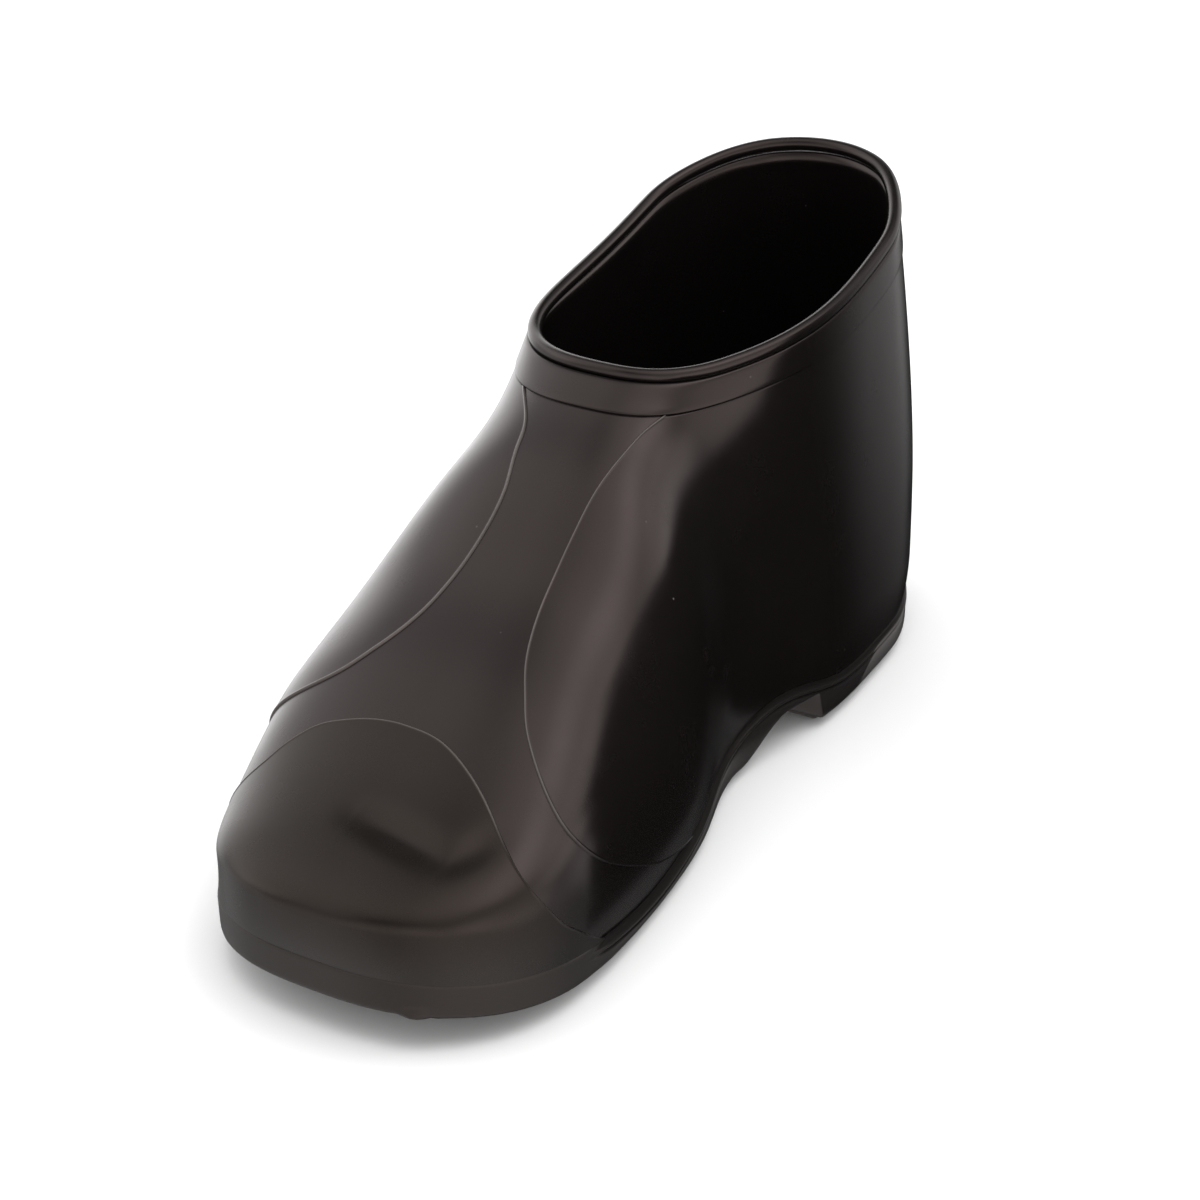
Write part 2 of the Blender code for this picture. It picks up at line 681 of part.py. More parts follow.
def make_sole_body(material):
    """Sole sheet with its heel pocket, waist recess and rim, before the lugs are added."""
    angles = ring_angles(0.0)
    plan, stations = outline(angles)
    under = sole_underside(stations)
    top = feather(stations) - PIECE_GAP
    rib = rib_share(angles)
    plain_low = rim_ring(angles, top - RIB_FOOT, 0.0)
    rib_low = rim_ring(angles, top - RIB_BOTTOM, 0.0)
    rib_high = rim_ring(angles, top - RIB_TOP, 0.0)
    flat = np.column_stack([unit(frame_at(np.zeros(len(angles)), angles)[1][:, :2]), np.zeros(len(angles))])
    inside_plan, inside_stations = outline(angles, RIM_WALL)
    rings = [
        np.column_stack([plan, under]),
        plain_low,
        rib_low + flat * RIB_OUT * rib,
        rib_high + flat * RIB_OUT * rib,
        np.column_stack([plan, top]),
        np.column_stack([inside_plan, top]),
        np.column_stack([inside_plan, sole_inside(inside_stations)]),
    ]
    count = len(angles)
    points = [tuple(point) for point in np.concatenate(rings)]
    faces = []
    for row in range(len(rings) - 1):
        for k in range(count):
            nxt = (k + 1) % count
            a, b = row * count + k, row * count + nxt
            faces.append((a, b, b + count, a + count))
    for plan_ring, height_at, first, upwards in (
            (plan, sole_underside, 0, False),
            (inside_plan, sole_inside, (len(rings) - 1) * count, True)):
        new_points, new_faces = sole_sheet(plan_ring, height_at, first)
        offset = len(points)
        points += new_points
        for face in new_faces:
            corners = [offset + c[1] if isinstance(c, tuple) else c for c in face]
            faces.append(tuple(corners if upwards else reversed(corners)))
    return new_object("outsole", points, faces, material)


def cleat_outline(row):
    """Corners of an edge lug: a square inner end and a narrow outer end."""
    way = math.copysign(1.0, row.outer - row.inner)
    rear_tip = row.front - CLEAT_TIP
    front_cut, rear_cut = CLEAT_FRONT_CUT, CLEAT_REAR_CUT
    return ((row.rear, row.inner), (row.front, row.inner), (row.front, row.outer - front_cut * way),
            (row.front - front_cut, row.outer), (rear_tip + rear_cut, row.outer),
            (rear_tip, row.outer - rear_cut * way),
            (row.rear + CLEAT_BELLY * (rear_tip - row.rear), 0.5 * (row.inner + row.outer)))


def bar_outline(path):
    """Outline of a bar of even width along a path, with cut corners at its ends."""
    points = np.array(path, float)
    along = unit(np.diff(points, axis=0))
    tips = [points[0] - along[0] * BAR_OVERRUN, points[-1] + along[-1] * BAR_OVERRUN]
    side = np.column_stack([-along[:, 1], along[:, 0]])
    half = BAR_WIDTH / 2.0
    cut = BAR_CUT
    left, right = [], []
    left += [tips[0] + side[0] * (half - cut), points[0] + along[0] * cut + side[0] * half]
    right += [tips[0] - side[0] * (half - cut), points[0] + along[0] * cut - side[0] * half]
    if len(points) == 3:
        bend = unit(side[0] + side[1])
        reach = half / float(bend @ side[0])
        left.append(points[1] + bend * reach)
        right.append(points[1] - bend * reach)
    left += [points[-1] - along[-1] * cut + side[-1] * half, tips[1] + side[-1] * (half - cut)]
    right += [points[-1] - along[-1] * cut - side[-1] * half, tips[1] - side[-1] * (half - cut)]
    return [tuple(p) for p in left + right[::-1]]


def pad_outline(edge, degrees):
    """Outline of a pad between its own edge and the sole's outline, inside the margin."""
    plan, stations = outline(np.radians(degrees), PAD_MARGIN)
    return list(edge) + [(station, x) for station, x in zip(stations, plan[:, 0])]


def lug_points(outline_points):
    """Foot and head of a lug: its ground face and the face that is sunk into the sole sheet."""
    stations = np.array([p[0] for p in outline_points])
    across = np.array([p[1] for p in outline_points])
    turns_right = np.sum(across * np.roll(stations, -1) - np.roll(across, -1) * stations) > 0.0
    if turns_right:
        stations, across = stations[::-1], across[::-1]
    under = sole_underside(stations)
    plan = (across, LENGTH / 2.0 - stations)
    return np.column_stack([*plan, under - LUG_DEPTH]), np.column_stack([*plan, under + LUG_SINK])


def make_lug_forms(material):
    """All lugs as separate prisms in one object, which the sole is joined with."""
    outlines = [cleat_outline(row) for row in CLEATS]
    outlines += [bar_outline(path) for path in BARS]
    outlines.append(pad_outline(HEEL_PAD_EDGE, HEEL_PAD_DEGREES))
    outlines.append(pad_outline(TOE_PAD_EDGE, TOE_PAD_DEGREES))
    points, faces = [], []
    for lug in outlines:
        foot, head = lug_points(lug)
        first, count = len(points), len(foot)
        points += [tuple(p) for p in foot] + [tuple(p) for p in head]
        faces.append(tuple(first + count - 1 - i for i in range(count)))
        faces.append(tuple(first + count + i for i in range(count)))
        for i in range(count):
            j = (i + 1) % count
            faces.append((first + i, first + j, first + count + j, first + count + i))
    forms = new_object("lug_forms", points, faces, material)
    forms.hide_render = True
    forms.display_type = "WIRE"
    return forms


def make_outsole(material):
    """Sole with all its lugs, as one solid."""
    sole = make_sole_body(material)
    lugs = sole.modifiers.new("lugs", "BOOLEAN")
    lugs.operation = "UNION"
    lugs.solver = "EXACT"
    lugs.object = make_lug_forms(material)
    return sole


def main():
    for old in list(bpy.data.objects):
        bpy.data.objects.remove(old, do_unlink=True)
    make_upper(rubber("upper_rubber", UPPER_COLOUR, UPPER_ROUGHNESS))
    make_outsole(rubber("sole_rubber", SOLE_COLOUR, SOLE_ROUGHNESS))
    make_collar_band(rubber("band_rubber", UPPER_COLOUR, UPPER_ROUGHNESS))
    make_toe_cap(rubber("cap_rubber", CAP_COLOUR, CAP_ROUGHNESS))
    make_quarter_panel(rubber("panel_rubber", UPPER_COLOUR, UPPER_ROUGHNESS))


main()
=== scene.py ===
"""Rubber overshoe, right foot: the looks of the shoe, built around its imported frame.

The file is laid out as an add-on. Each piece has an operator of its own, the sizes and finishes that
a user would change are properties, and a panel in the sidebar lists them. Run as a script, it builds
everything in order.

Lengths in the shape functions are millimetres in the shoe's own terms: a station is a distance
forward from the heel, a level is 0 at the feather line, where the upper meets the sole, and 1 at the
top of the collar, and an angle runs from 0 at the toe to 180 degrees at the heel, positive on the
inner side of the foot. Finished pieces are in metres, in the frame's axes: the toe points along -Y
and +X is the inner side.
"""

import math
from collections import namedtuple

import bmesh
import bpy
import numpy as np
from bpy.props import FloatProperty, FloatVectorProperty, PointerProperty
from mathutils import Matrix, Vector


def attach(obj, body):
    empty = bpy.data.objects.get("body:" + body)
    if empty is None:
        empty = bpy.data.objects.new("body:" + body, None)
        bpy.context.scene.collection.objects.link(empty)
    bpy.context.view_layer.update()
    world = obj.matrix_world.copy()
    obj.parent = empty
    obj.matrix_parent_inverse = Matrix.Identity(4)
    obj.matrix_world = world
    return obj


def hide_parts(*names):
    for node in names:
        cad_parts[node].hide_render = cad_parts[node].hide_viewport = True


bl_info = {
    "name": "Rubber Overshoe",
    "version": (1, 0, 0),
    "blender": (4, 5, 0),
    "location": "3D View > Sidebar > Overshoe",
    "description": "Builds a moulded rubber overshoe for the right foot, with its sole and a plain stage",
    "category": "Object",
}

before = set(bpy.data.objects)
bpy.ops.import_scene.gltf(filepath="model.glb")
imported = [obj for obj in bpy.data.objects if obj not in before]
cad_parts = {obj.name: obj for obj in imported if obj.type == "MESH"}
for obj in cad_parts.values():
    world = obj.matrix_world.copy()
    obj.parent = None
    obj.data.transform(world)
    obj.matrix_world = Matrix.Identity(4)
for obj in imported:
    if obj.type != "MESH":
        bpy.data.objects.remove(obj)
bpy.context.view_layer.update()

MM = 0.001


def table(kind, values):
    """Rows of a table, each with its columns named."""
    return tuple(kind(*row) for row in values)


# The shoe's form: the same named sizes and sections as its solids have

LENGTH = 326.0
# Middle of the solids' box in these axes
BOX_MIDDLE_X = -0.53
BOX_MIDDLE_Y = -0.33
# Sole and its rim, whose edge dips beside the ball of the foot
LUG_DEPTH = 3.5
SOLE_SHEET = 3.0
RIM_HEIGHT = 11.0
RIM_DIP = 4.6
RIM_DIP_STATION = 228.0
RIM_DIP_SPREAD = 42.0
# Lift of the toe, recess of the waist and rise of the rim over the arch
TOE_SPRING = 9.7
SPRING_START = 225.0
BREAST_STATION = 110.0
BREAST_RUN = 3.0
WAIST_RISE = 11.0
WAIST_END = 127.0
WAIST_SLOPE = 24.0
ARCH_LIFT = 7.5
ARCH_STATION = 130.0
ARCH_SPREAD = 24.0
# Collar
FLARE_START = 142.0
FLARE_UNIT = 180.0
BEAD_OUT = -0.2
BAND_WIDTH = 12.0
# Ends of the outline in plan
TOE_ROUND_START = 269.0
TOE_ROUND_POWER = 2.6
HEEL_ROUND = 56.0
HEEL_ROUND_POWER = 2.05
# Lean of the heel's back, above and below its waist
BACK_WAIST_HEIGHT = 58.5
BACK_HEIGHT_UNIT = 55.0
BACK_LEAN_LOW = 4.0
BACK_LEAN_HIGH = 8.2
BACK_LEAN_POWER = 1.6
BACK_LEAN_LENGTH = 90.0
BACK_LEAN_EASE = 14.0
# Outer side of the toe
OUTER_TOE_POWER = 2.9
OUTER_TOE_START = 250.0
OUTER_TOE_LENGTH = 55.0
OUTER_TOE_LEAN = 4.8
OUTER_CROWN_DROP = 0.7
# Nose of the toe
NOSE_HEIGHT = 29.0
NOSE_TUCK = 1.9
NOSE_TUCK_HEIGHT = 15.0
NOSE_TUCK_START = 240.0
NOSE_TUCK_LENGTH = 80.0
NOSE_ROUND = 58.5
NOSE_ROUND_POWER = 2.45
# Swell above the feather line, and roundness of the sections over it
SWELL = 1.6
SWELL_HEIGHT = 16.0
SWELL_FADE = 20.0
CROWN_POWER = 2.57
TOE_CROWN_POWER = 2.77
TOE_CROWN_START = 200.0
TOE_CROWN_LENGTH = 80.0
# Where the side rib starts, in degrees from the toe
RIB_START_ANGLE = 47.0
RIB_FADE_ANGLE = 6.0

Section = namedtuple("Section", "station lateral medial centre ridge")
SECTIONS = table(Section, (
    (0.0, 41.0, 38.0, 0.0, 333.5), (25.0, 42.0, 39.5, 0.0, 309.7), (50.0, 44.9, 43.5, 0.0, 284.4),
    (75.0, 45.9, 45.9, 0.0, 256.3), (105.0, 47.1, 46.8, 0.0, 220.0), (130.0, 49.1, 43.0, 0.0, 181.0),
    (155.0, 52.4, 39.4, 0.1, 141.5), (190.0, 58.7, 48.0, 0.9, 116.5), (220.0, 63.4, 53.2, 1.8, 94.5),
    (250.0, 62.3, 55.9, 2.8, 78.9), (285.0, 57.7, 56.7, 4.0, 61.0), (326.0, 52.1, 52.9, 5.4, 50.3),
))

CollarRow = namedtuple("CollarRow", "station height")
COLLAR = table(CollarRow, (
    (0.0, 169.5), (35.0, 161.0), (60.0, 153.5), (90.0, 146.0), (155.0, 136.1), (326.0, 112.0),
))

# Front edge of the quarter panel: angle from the toe at fractions of the height up to the collar band
QuarterRow = namedtuple("QuarterRow", "fraction lateral medial")
QUARTER_LINE = table(QuarterRow, (
    (0.0, 73.0, 75.0), (0.035, 68.0, 70.0), (0.07, 62.0, 64.2), (0.1, 57.0, 57.6), (0.125, 52.4, 50.0),
    (0.15, 47.5, 41.6), (0.175, 42.4, 33.6), (0.2, 37.5, 27.0), (0.225, 32.8, 22.4), (0.25, 28.2, 19.2),
    (0.285, 21.8, 16.0), (0.31, 17.8, 14.2), (0.345, 13.5, 12.2), (0.4, 9.9, 10.4), (0.45, 8.0, 9.0),
    (0.5, 6.7, 8.1), (0.56, 5.8, 7.5), (0.62, 5.1, 7.4), (0.69, 4.7, 7.8), (0.75, 4.8, 8.6),
    (0.8, 5.5, 9.6), (0.85, 7.3, 11.5), (0.9, 9.9, 14.9), (0.94, 12.7, 18.4), (0.97, 17.4, 21.6),
    (1.0, 24.5, 26.5),
))

# Rear edge of the toe cap: fraction of the same height at angles from the toe, inner side positive
CapRow = namedtuple("CapRow", "angle fraction")
CAP_LINE = table(CapRow, (
    (-51.0, 0.0), (-44.5, 0.04), (-37.5, 0.08), (-31.0, 0.12), (-25.0, 0.158), (-21.4, 0.183),
    (-18.5, 0.208), (-15.3, 0.235), (-11.6, 0.263), (-8.0, 0.281), (-4.8, 0.294), (-2.0, 0.301),
    (0.2, 0.301), (2.4, 0.293), (4.3, 0.28), (6.3, 0.264), (8.7, 0.243), (11.1, 0.221), (14.0, 0.196),
    (17.2, 0.173), (21.6, 0.149), (27.4, 0.126), (34.8, 0.1), (41.4, 0.071), (46.6, 0.036), (51.0, 0.0),
))

# Lugs, with stations and distances across, which are positive on the inner side: cleats at the edge,
# bars in chevrons, and the inner edges of the heel pad and the toe pad
CleatRow = namedtuple("CleatRow", "rear front inner outer")
CLEATS = table(CleatRow, (
    (37.0, 48.0, -21.0, -38.5), (54.0, 66.0, -21.0, -41.0), (72.0, 85.0, -21.0, -41.0),
    (89.0, 100.0, -21.0, -41.0), (44.0, 57.0, 28.0, 39.5), (62.0, 75.0, 29.0, 42.5),
    (80.0, 93.0, 29.0, 43.0), (97.0, 107.0, 29.0, 43.0), (169.0, 178.0, -26.0, -49.0),
    (185.0, 194.0, -28.0, -51.5), (200.0, 209.0, -29.0, -53.0), (215.0, 225.0, -28.0, -53.5),
    (231.0, 240.0, -27.0, -53.0), (247.0, 256.0, -25.0, -51.5), (262.0, 272.0, -21.0, -48.5),
    (279.0, 290.0, -13.0, -44.0), (174.0, 186.0, 29.0, 41.5), (188.0, 201.0, 33.0, 46.0),
    (204.0, 216.0, 37.0, 50.0), (219.0, 231.0, 39.0, 53.0), (236.0, 247.0, 40.0, 55.5),
    (251.0, 262.0, 39.0, 56.5), (266.0, 278.0, 37.0, 55.0), (280.0, 293.0, 32.0, 52.0),
))
CLEAT_TIP = 5.0
CLEAT_BELLY = 0.3
BAR_WIDTH = 8.5
BARS = (
    ((23.0, -4.0), (31.0, 6.0), (29.0, 15.0)),
    ((38.0, -13.0), (46.5, -1.0)),
    ((50.0, 9.0), (46.0, 22.0)),
    ((59.0, -17.0), (72.5, 3.0), (65.0, 24.0)),
    ((78.0, -16.0), (86.5, -1.5)),
    ((88.5, 8.5), (84.0, 23.0)),
    ((97.0, -18.0), (104.5, 4.0), (100.5, 23.0)),
    ((169.5, -20.0), (179.5, 2.0), (174.5, 23.0)),
    ((183.0, -21.0), (191.5, -1.0)),
    ((191.5, 7.0), (187.0, 27.0)),
    ((198.5, -22.0), (208.5, 3.0), (203.5, 31.0)),
    ((213.0, -21.0), (222.5, 3.0)),
    ((223.0, 10.5), (217.0, 33.0)),
    ((229.5, -21.0), (241.5, 9.0), (234.0, 33.0)),
    ((246.0, -18.0), (254.5, 6.0)),
    ((255.5, 13.5), (249.0, 34.0)),
    ((260.5, -14.0), (271.5, 11.0), (265.5, 31.0)),
    ((276.5, -6.0), (283.5, 8.0)),
    ((284.5, 16.0), (280.0, 28.0)),
)
HEEL_PAD_EDGE = ((27.0, -30.5), (30.0, -18.0), (15.5, -6.5), (22.0, 6.5), (19.0, 14.5), (37.0, 27.0),
                 (38.0, 35.5))
TOE_PAD_EDGE = ((300.0, -28.0), (295.0, -12.0), (293.5, 6.0), (296.0, 26.0), (300.0, 44.0))
PAD_MARGIN = 4.5
# Radius of each lug's corners in plan, and the largest share of a side that a corner takes
CORNER_SHARE = 0.46
CLEAT_CORNER = 1.9
BAR_CORNER = 3.0
HEEL_PAD_CORNER = 3.0
TOE_PAD_CORNER = 5.0
# Angles at which the pads follow the sole's outline
HEEL_PAD_DEGREES = (145.0, 154.0, 162.0, 171.0, 180.0, 189.0, 198.0, 206.0)
TOE_PAD_DEGREES = (27.0, 18.0, 9.0, 0.0, -8.0, -16.0, -23.0)

# Looks only: what the solids leave out

# Soft step and thin ridge of the panels' free edges: distance from the edge, share of the step that is
# missing there, negative on the ridge, and how strongly the edge line is painted pale as a painted highlight
EdgeRow = namedtuple("EdgeRow", "distance missing wear")
EDGE_STEP = table(EdgeRow, (
    (0.0, 1.05, 0.0), (0.1, 0.8, 0.3), (0.2, 0.3, 0.8), (0.3, -0.2, 1.0), (0.42, -0.48, 1.0),
    (0.56, -0.4, 0.8), (0.72, -0.14, 0.25), (0.9, 0.0, 0.0), (1.2, 0.0, 0.0),
))
# Fraction of the height at which the painted highlight of the edge lines starts, and over which it comes in
HIGHLIGHT_FROM = 0.16
HIGHLIGHT_FADE = 0.07

# Side of the sole: drop from the feather line and distance outwards, with the rib and over the toe
RimRow = namedtuple("RimRow", "drop ribbed plain")
RIM_PROFILE = table(RimRow, (
    (-0.6, -0.6, -0.6), (-0.1, -0.3, 0.3), (0.1, -0.5, 0.42), (0.4, -0.62, 0.52), (0.8, -0.7, 0.57),
    (1.2, -0.68, 0.6), (1.6, -0.5, 0.6), (1.85, -0.1, 0.6), (2.0, 0.55, 0.6), (2.1, 1.05, 0.6),
    (2.25, 1.32, 0.6), (2.5, 1.45, 0.6), (2.9, 1.47, 0.6), (3.25, 1.38, 0.6), (3.45, 1.1, 0.6),
    (3.58, 0.6, 0.6), (3.75, 0.22, 0.6), (4.0, 0.15, 0.6), (4.2, 0.5, 0.6), (4.4, 0.9, 0.6),
    (4.9, 1.08, 0.6), (6.5, 1.14, 0.6), (8.6, 1.12, 0.6), (9.6, 1.0, 0.57), (10.3, 0.75, 0.42),
    (10.75, 0.35, 0.1), (11.0, -0.4, -0.5),
))
# Rows down to this drop keep it, and the rest spread out to the sole's underside
RIM_FIXED = 4.4

# Soft hollows and swellings of the rubber, each along a line through three points of the shoe, given
# as a station, a distance across and a height
Fold = namedtuple("Fold", "start middle end width depth")
FOLDS = table(Fold, (
    ((298.5, 3.0, 55.6), (300.5, 20.0, 54.3), (302.5, 35.0, 52.2), 5.0, -1.5),
    ((302.5, 35.0, 52.2), (297.0, 40.0, 53.6), (289.5, 42.5, 55.6), 4.5, -1.0),
))
FOLD_STEPS = 9
FOLD_CUT = 0.08
FOLD_TAPER = 0.7

# The bare oval on the waist of the sole, its thin raised outline, and the small nub of the mould
OVAL_ENDS = ((152.5, -19.0), (158.5, 14.0))
OVAL_HALF_WIDTH = 7.5
OVAL_LINE = 0.7
OVAL_SINK = 0.1
OVAL_SPACING = 1.5
OVAL_SIDES = 10
NUB_ANGLE = 14.5
NUB_SPREAD = 1.9
NUB_OUT = 1.5
NUB_DROP = 9.0

# Camera: place and aim in metres in the frame's axes, roll in degrees, lens and sensor in millimetres
CAMERA_PLACE = (0.4201, -0.6467, 0.4590)
CAMERA_AIM = (0.0055, -0.012, 0.066)
CAMERA_ROLL = -1.96
CAMERA_LENS = 84.0
CAMERA_SENSOR = 36.0
CAMERA_CLIP = (0.01, 50.0)


# The outside of the shoe as a function

def smooth(value):
    """Ease from 0 to 1 while value goes from 0 to 1."""
    t = np.clip(value, 0.0, 1.0)
    return t * t * (3.0 - 2.0 * t)


def eased_ramp(value, ease):
    """The larger of value and 0, with the corner eased over a distance to each side."""
    bend = np.clip((value + ease) / (2.0 * ease), 0.0, 1.0)
    return np.where(value > ease, value, ease * bend * bend)


def rounded(value, power):
    """Superellipse fall from 1 to 0 while value goes from 0 to 1."""
    return (1.0 - np.clip(value, 0.0, 1.0) ** power) ** (1.0 / power)


class Curve:
    """Natural cubic through the rows of a table: one column against another."""

    def __init__(self, places, values):
        self.places = np.asarray(places, float)
        self.values = np.asarray(values, float)
        count = len(self.places)
        self.steps = np.diff(self.places)
        matrix = np.eye(count)
        right = np.zeros(count)
        for i in range(1, count - 1):
            before, after = self.steps[i - 1], self.steps[i]
            matrix[i, i - 1:i + 2] = before, 2.0 * (before + after), after
            rise_after = (self.values[i + 1] - self.values[i]) / after
            rise_before = (self.values[i] - self.values[i - 1]) / before
            right[i] = 6.0 * (rise_after - rise_before)
        self.bends = np.linalg.solve(matrix, right)

    def __call__(self, place):
        place = np.asarray(place, float)
        i = np.clip(np.searchsorted(self.places, place) - 1, 0, len(self.places) - 2)
        step = self.steps[i]
        near = (self.places[i + 1] - place) / step
        far = (place - self.places[i]) / step
        bend = (near ** 3 - near) * self.bends[i] + (far ** 3 - far) * self.bends[i + 1]
        return near * self.values[i] + far * self.values[i + 1] + bend * step * step / 6.0


def column(rows, name):
    """One column of a table."""
    return [getattr(row, name) for row in rows]


STATIONS = column(SECTIONS, "station")
lateral_breadth = Curve(STATIONS, column(SECTIONS, "lateral"))
medial_breadth = Curve(STATIONS, column(SECTIONS, "medial"))
centre = Curve(STATIONS, column(SECTIONS, "centre"))
ridge_height = Curve(STATIONS, column(SECTIONS, "ridge"))
collar_line = Curve(column(COLLAR, "station"), column(COLLAR, "height"))


def spring(station):
    """Lift of the sole towards the toe."""
    t = np.clip((station - SPRING_START) / (LENGTH - SPRING_START), 0.0, 1.0)
    return TOE_SPRING * t * t


def waist(station):
    """1 in the recess under the arch, 0 at heel and forepart: steep at the heel breast."""
    behind = smooth((station - BREAST_STATION) / BREAST_RUN)
    ahead = smooth((station - WAIST_END) / WAIST_SLOPE)
    return behind * (1.0 - ahead)


def sole_underside(station):
    """Height of the sole sheet's underside, which the lugs stand on."""
    return LUG_DEPTH + spring(station) + WAIST_RISE * waist(station)


def sole_inside(station):
    """Height of the floor inside the shoe."""
    ahead = station + SOLE_SHEET * waist(station + SOLE_SHEET)
    return LUG_DEPTH + SOLE_SHEET + spring(station) + WAIST_RISE * waist(ahead)


def feather(station):
    """Height of the line where the upper meets the sole."""
    arch = ARCH_LIFT * np.exp(-(((station - ARCH_STATION) / ARCH_SPREAD) ** 2))
    dip = RIM_DIP * np.exp(-(((station - RIM_DIP_STATION) / RIM_DIP_SPREAD) ** 2))
    return LUG_DEPTH + spring(station) + RIM_HEIGHT + arch - dip


def collar_top(station):
    """Height of the collar's sheet: the collar itself, and its flare over the vamp."""
    flare = np.clip(station - FLARE_START, 0.0, None) ** 2 / FLARE_UNIT
    return collar_line(station) + flare


def sheet(level, station):
    """Height at a station of the sheet that cuts the outside in the loop of this level."""
    low = feather(station)
    return low + level * (collar_top(station) - low)


def plan_station(station, height):
    """Station in plan after the lean of the heel's back and the tuck under the toe's nose."""
    above = (height - BACK_WAIST_HEIGHT) / BACK_HEIGHT_UNIT
    high = BACK_LEAN_HIGH * np.clip(above, 0.0, None) ** BACK_LEAN_POWER
    low = BACK_LEAN_LOW * np.clip(above, None, 0.0) ** 2
    share = eased_ramp(1.0 - station / BACK_LEAN_LENGTH, BACK_LEAN_EASE / BACK_LEAN_LENGTH)
    nose = NOSE_HEIGHT + spring(LENGTH)
    under = np.clip((nose - height) / NOSE_TUCK_HEIGHT, 0.0, None)
    tuck = NOSE_TUCK * under ** 2 * np.clip((station - NOSE_TUCK_START) / NOSE_TUCK_LENGTH, 0.0, 1.0)
    return station - (high + low) * share + tuck


def top_line(plan):
    """Height of the vamp's top line, rounded down to the nose of the toe."""
    nose = NOSE_HEIGHT + spring(LENGTH)
    over = (plan - (LENGTH - NOSE_ROUND)) / NOSE_ROUND
    return nose + (ridge_height(plan) - nose) * rounded(over, NOSE_ROUND_POWER)


def half_breadth(station, height, side):
    """Distance from the centre line to the outside, side +1 on the inner side and -1 on the outer."""
    plan = plan_station(station, height)
    base = np.where(side > 0, medial_breadth(plan), lateral_breadth(plan))
    toe_power = np.where(side > 0, TOE_ROUND_POWER, OUTER_TOE_POWER)
    base = base * rounded((plan - TOE_ROUND_START) / (LENGTH - TOE_ROUND_START), toe_power)
    outer_toe = np.where(side > 0, 0.0, smooth((station - OUTER_TOE_START) / OUTER_TOE_LENGTH))
    base = base * np.where(plan > 0.0, rounded((HEEL_ROUND - plan) / HEEL_ROUND, HEEL_ROUND_POWER), 0.0)
    low = feather(station)
    wide = low + SWELL_HEIGHT
    swell = (SWELL - OUTER_TOE_LEAN * outer_toe) * np.clip(base / SWELL_FADE, 0.0, 1.0)
    top = np.maximum(top_line(plan), wide + 0.001)
    up = (height - wide) / (top - wide)
    power = CROWN_POWER + (TOE_CROWN_POWER - CROWN_POWER) * smooth(
        (station - TOE_CROWN_START) / TOE_CROWN_LENGTH) - OUTER_CROWN_DROP * outer_toe
    above = (base + swell) * rounded(up, power)
    down = np.clip((wide - height) / SWELL_HEIGHT, 0.0, 1.0)
    return np.where(height > wide, above, base + swell * (1.0 - down * down))


# Station that every loop runs round, how far its ends are looked for, and in how many halvings
LOOP_MIDDLE = 120.0
REAR_SEARCH = 140.0
FRONT_SEARCH = 220.0
HALVINGS = 46


def bisect(inside, low, high):
    """Place between low, which is inside, and high, which isn't, where the surface ends."""
    for _ in range(HALVINGS):
        middle = 0.5 * (low + high)
        within = inside(middle)
        low = np.where(within, middle, low)
        high = np.where(within, high, middle)
    return 0.5 * (low + high)


def find_loop_ends(level):
    """Rear and front station of the loop of each level."""
    def inside(station):
        height = sheet(level, station)
        plan = plan_station(station, height)
        return (plan > 0.0) & (plan < LENGTH) & (height < top_line(plan))

    middle = np.full_like(level, LOOP_MIDDLE)
    return bisect(inside, middle, middle - REAR_SEARCH), bisect(inside, middle, middle + FRONT_SEARCH)


LEVEL_TABLE = np.linspace(-0.05, 1.06, 4441)
REAR_TABLE, FRONT_TABLE = find_loop_ends(LEVEL_TABLE)


def surface(level, angle):
    """Point of the outside for a level and an angle in radians, positive on the inner side."""
    level, angle = np.broadcast_arrays(np.asarray(level, float), np.asarray(angle, float))
    rear = np.interp(level, LEVEL_TABLE, REAR_TABLE)
    front = np.interp(level, LEVEL_TABLE, FRONT_TABLE)
    station = rear + (front - rear) * 0.5 * (1.0 + np.cos(angle))
    height = sheet(level, station)
    side = np.where(np.sin(angle) >= 0.0, 1.0, -1.0)
    breadth = half_breadth(station, height, side)
    breadth = np.where(np.abs(np.sin(angle)) < 1e-9, 0.0, breadth)
    return np.stack([centre(station) + side * breadth, LENGTH / 2.0 - station, height], axis=-1)


def unit(vectors):
    """Vectors of length 1 in the same directions."""
    return vectors / np.maximum(np.linalg.norm(vectors, axis=-1, keepdims=True), 1e-12)


def frame_at(level, angle):
    """Point and outward normal of the outside."""
    small = 0.006
    level, angle = np.broadcast_arrays(np.asarray(level, float), np.asarray(angle, float))
    point = surface(level, angle)
    around = surface(level, angle + small) - surface(level, angle - small)
    upward = surface(level + small, angle) - surface(level - small, angle)
    return point, unit(np.cross(around, upward))


def fold_line(fold):
    """Points along a fold, on a curve through its start, middle and end."""
    start, middle, end = np.array([fold.start, fold.middle, fold.end], float)
    pull = 2 * middle - 0.5 * (start + end)
    t = np.linspace(0.0, 1.0, FOLD_STEPS)[:, None]
    line = (1 - t) ** 2 * start + 2 * t * (1 - t) * pull + t ** 2 * end
    return np.column_stack([line[:, 1], LENGTH / 2.0 - line[:, 0], line[:, 2]])


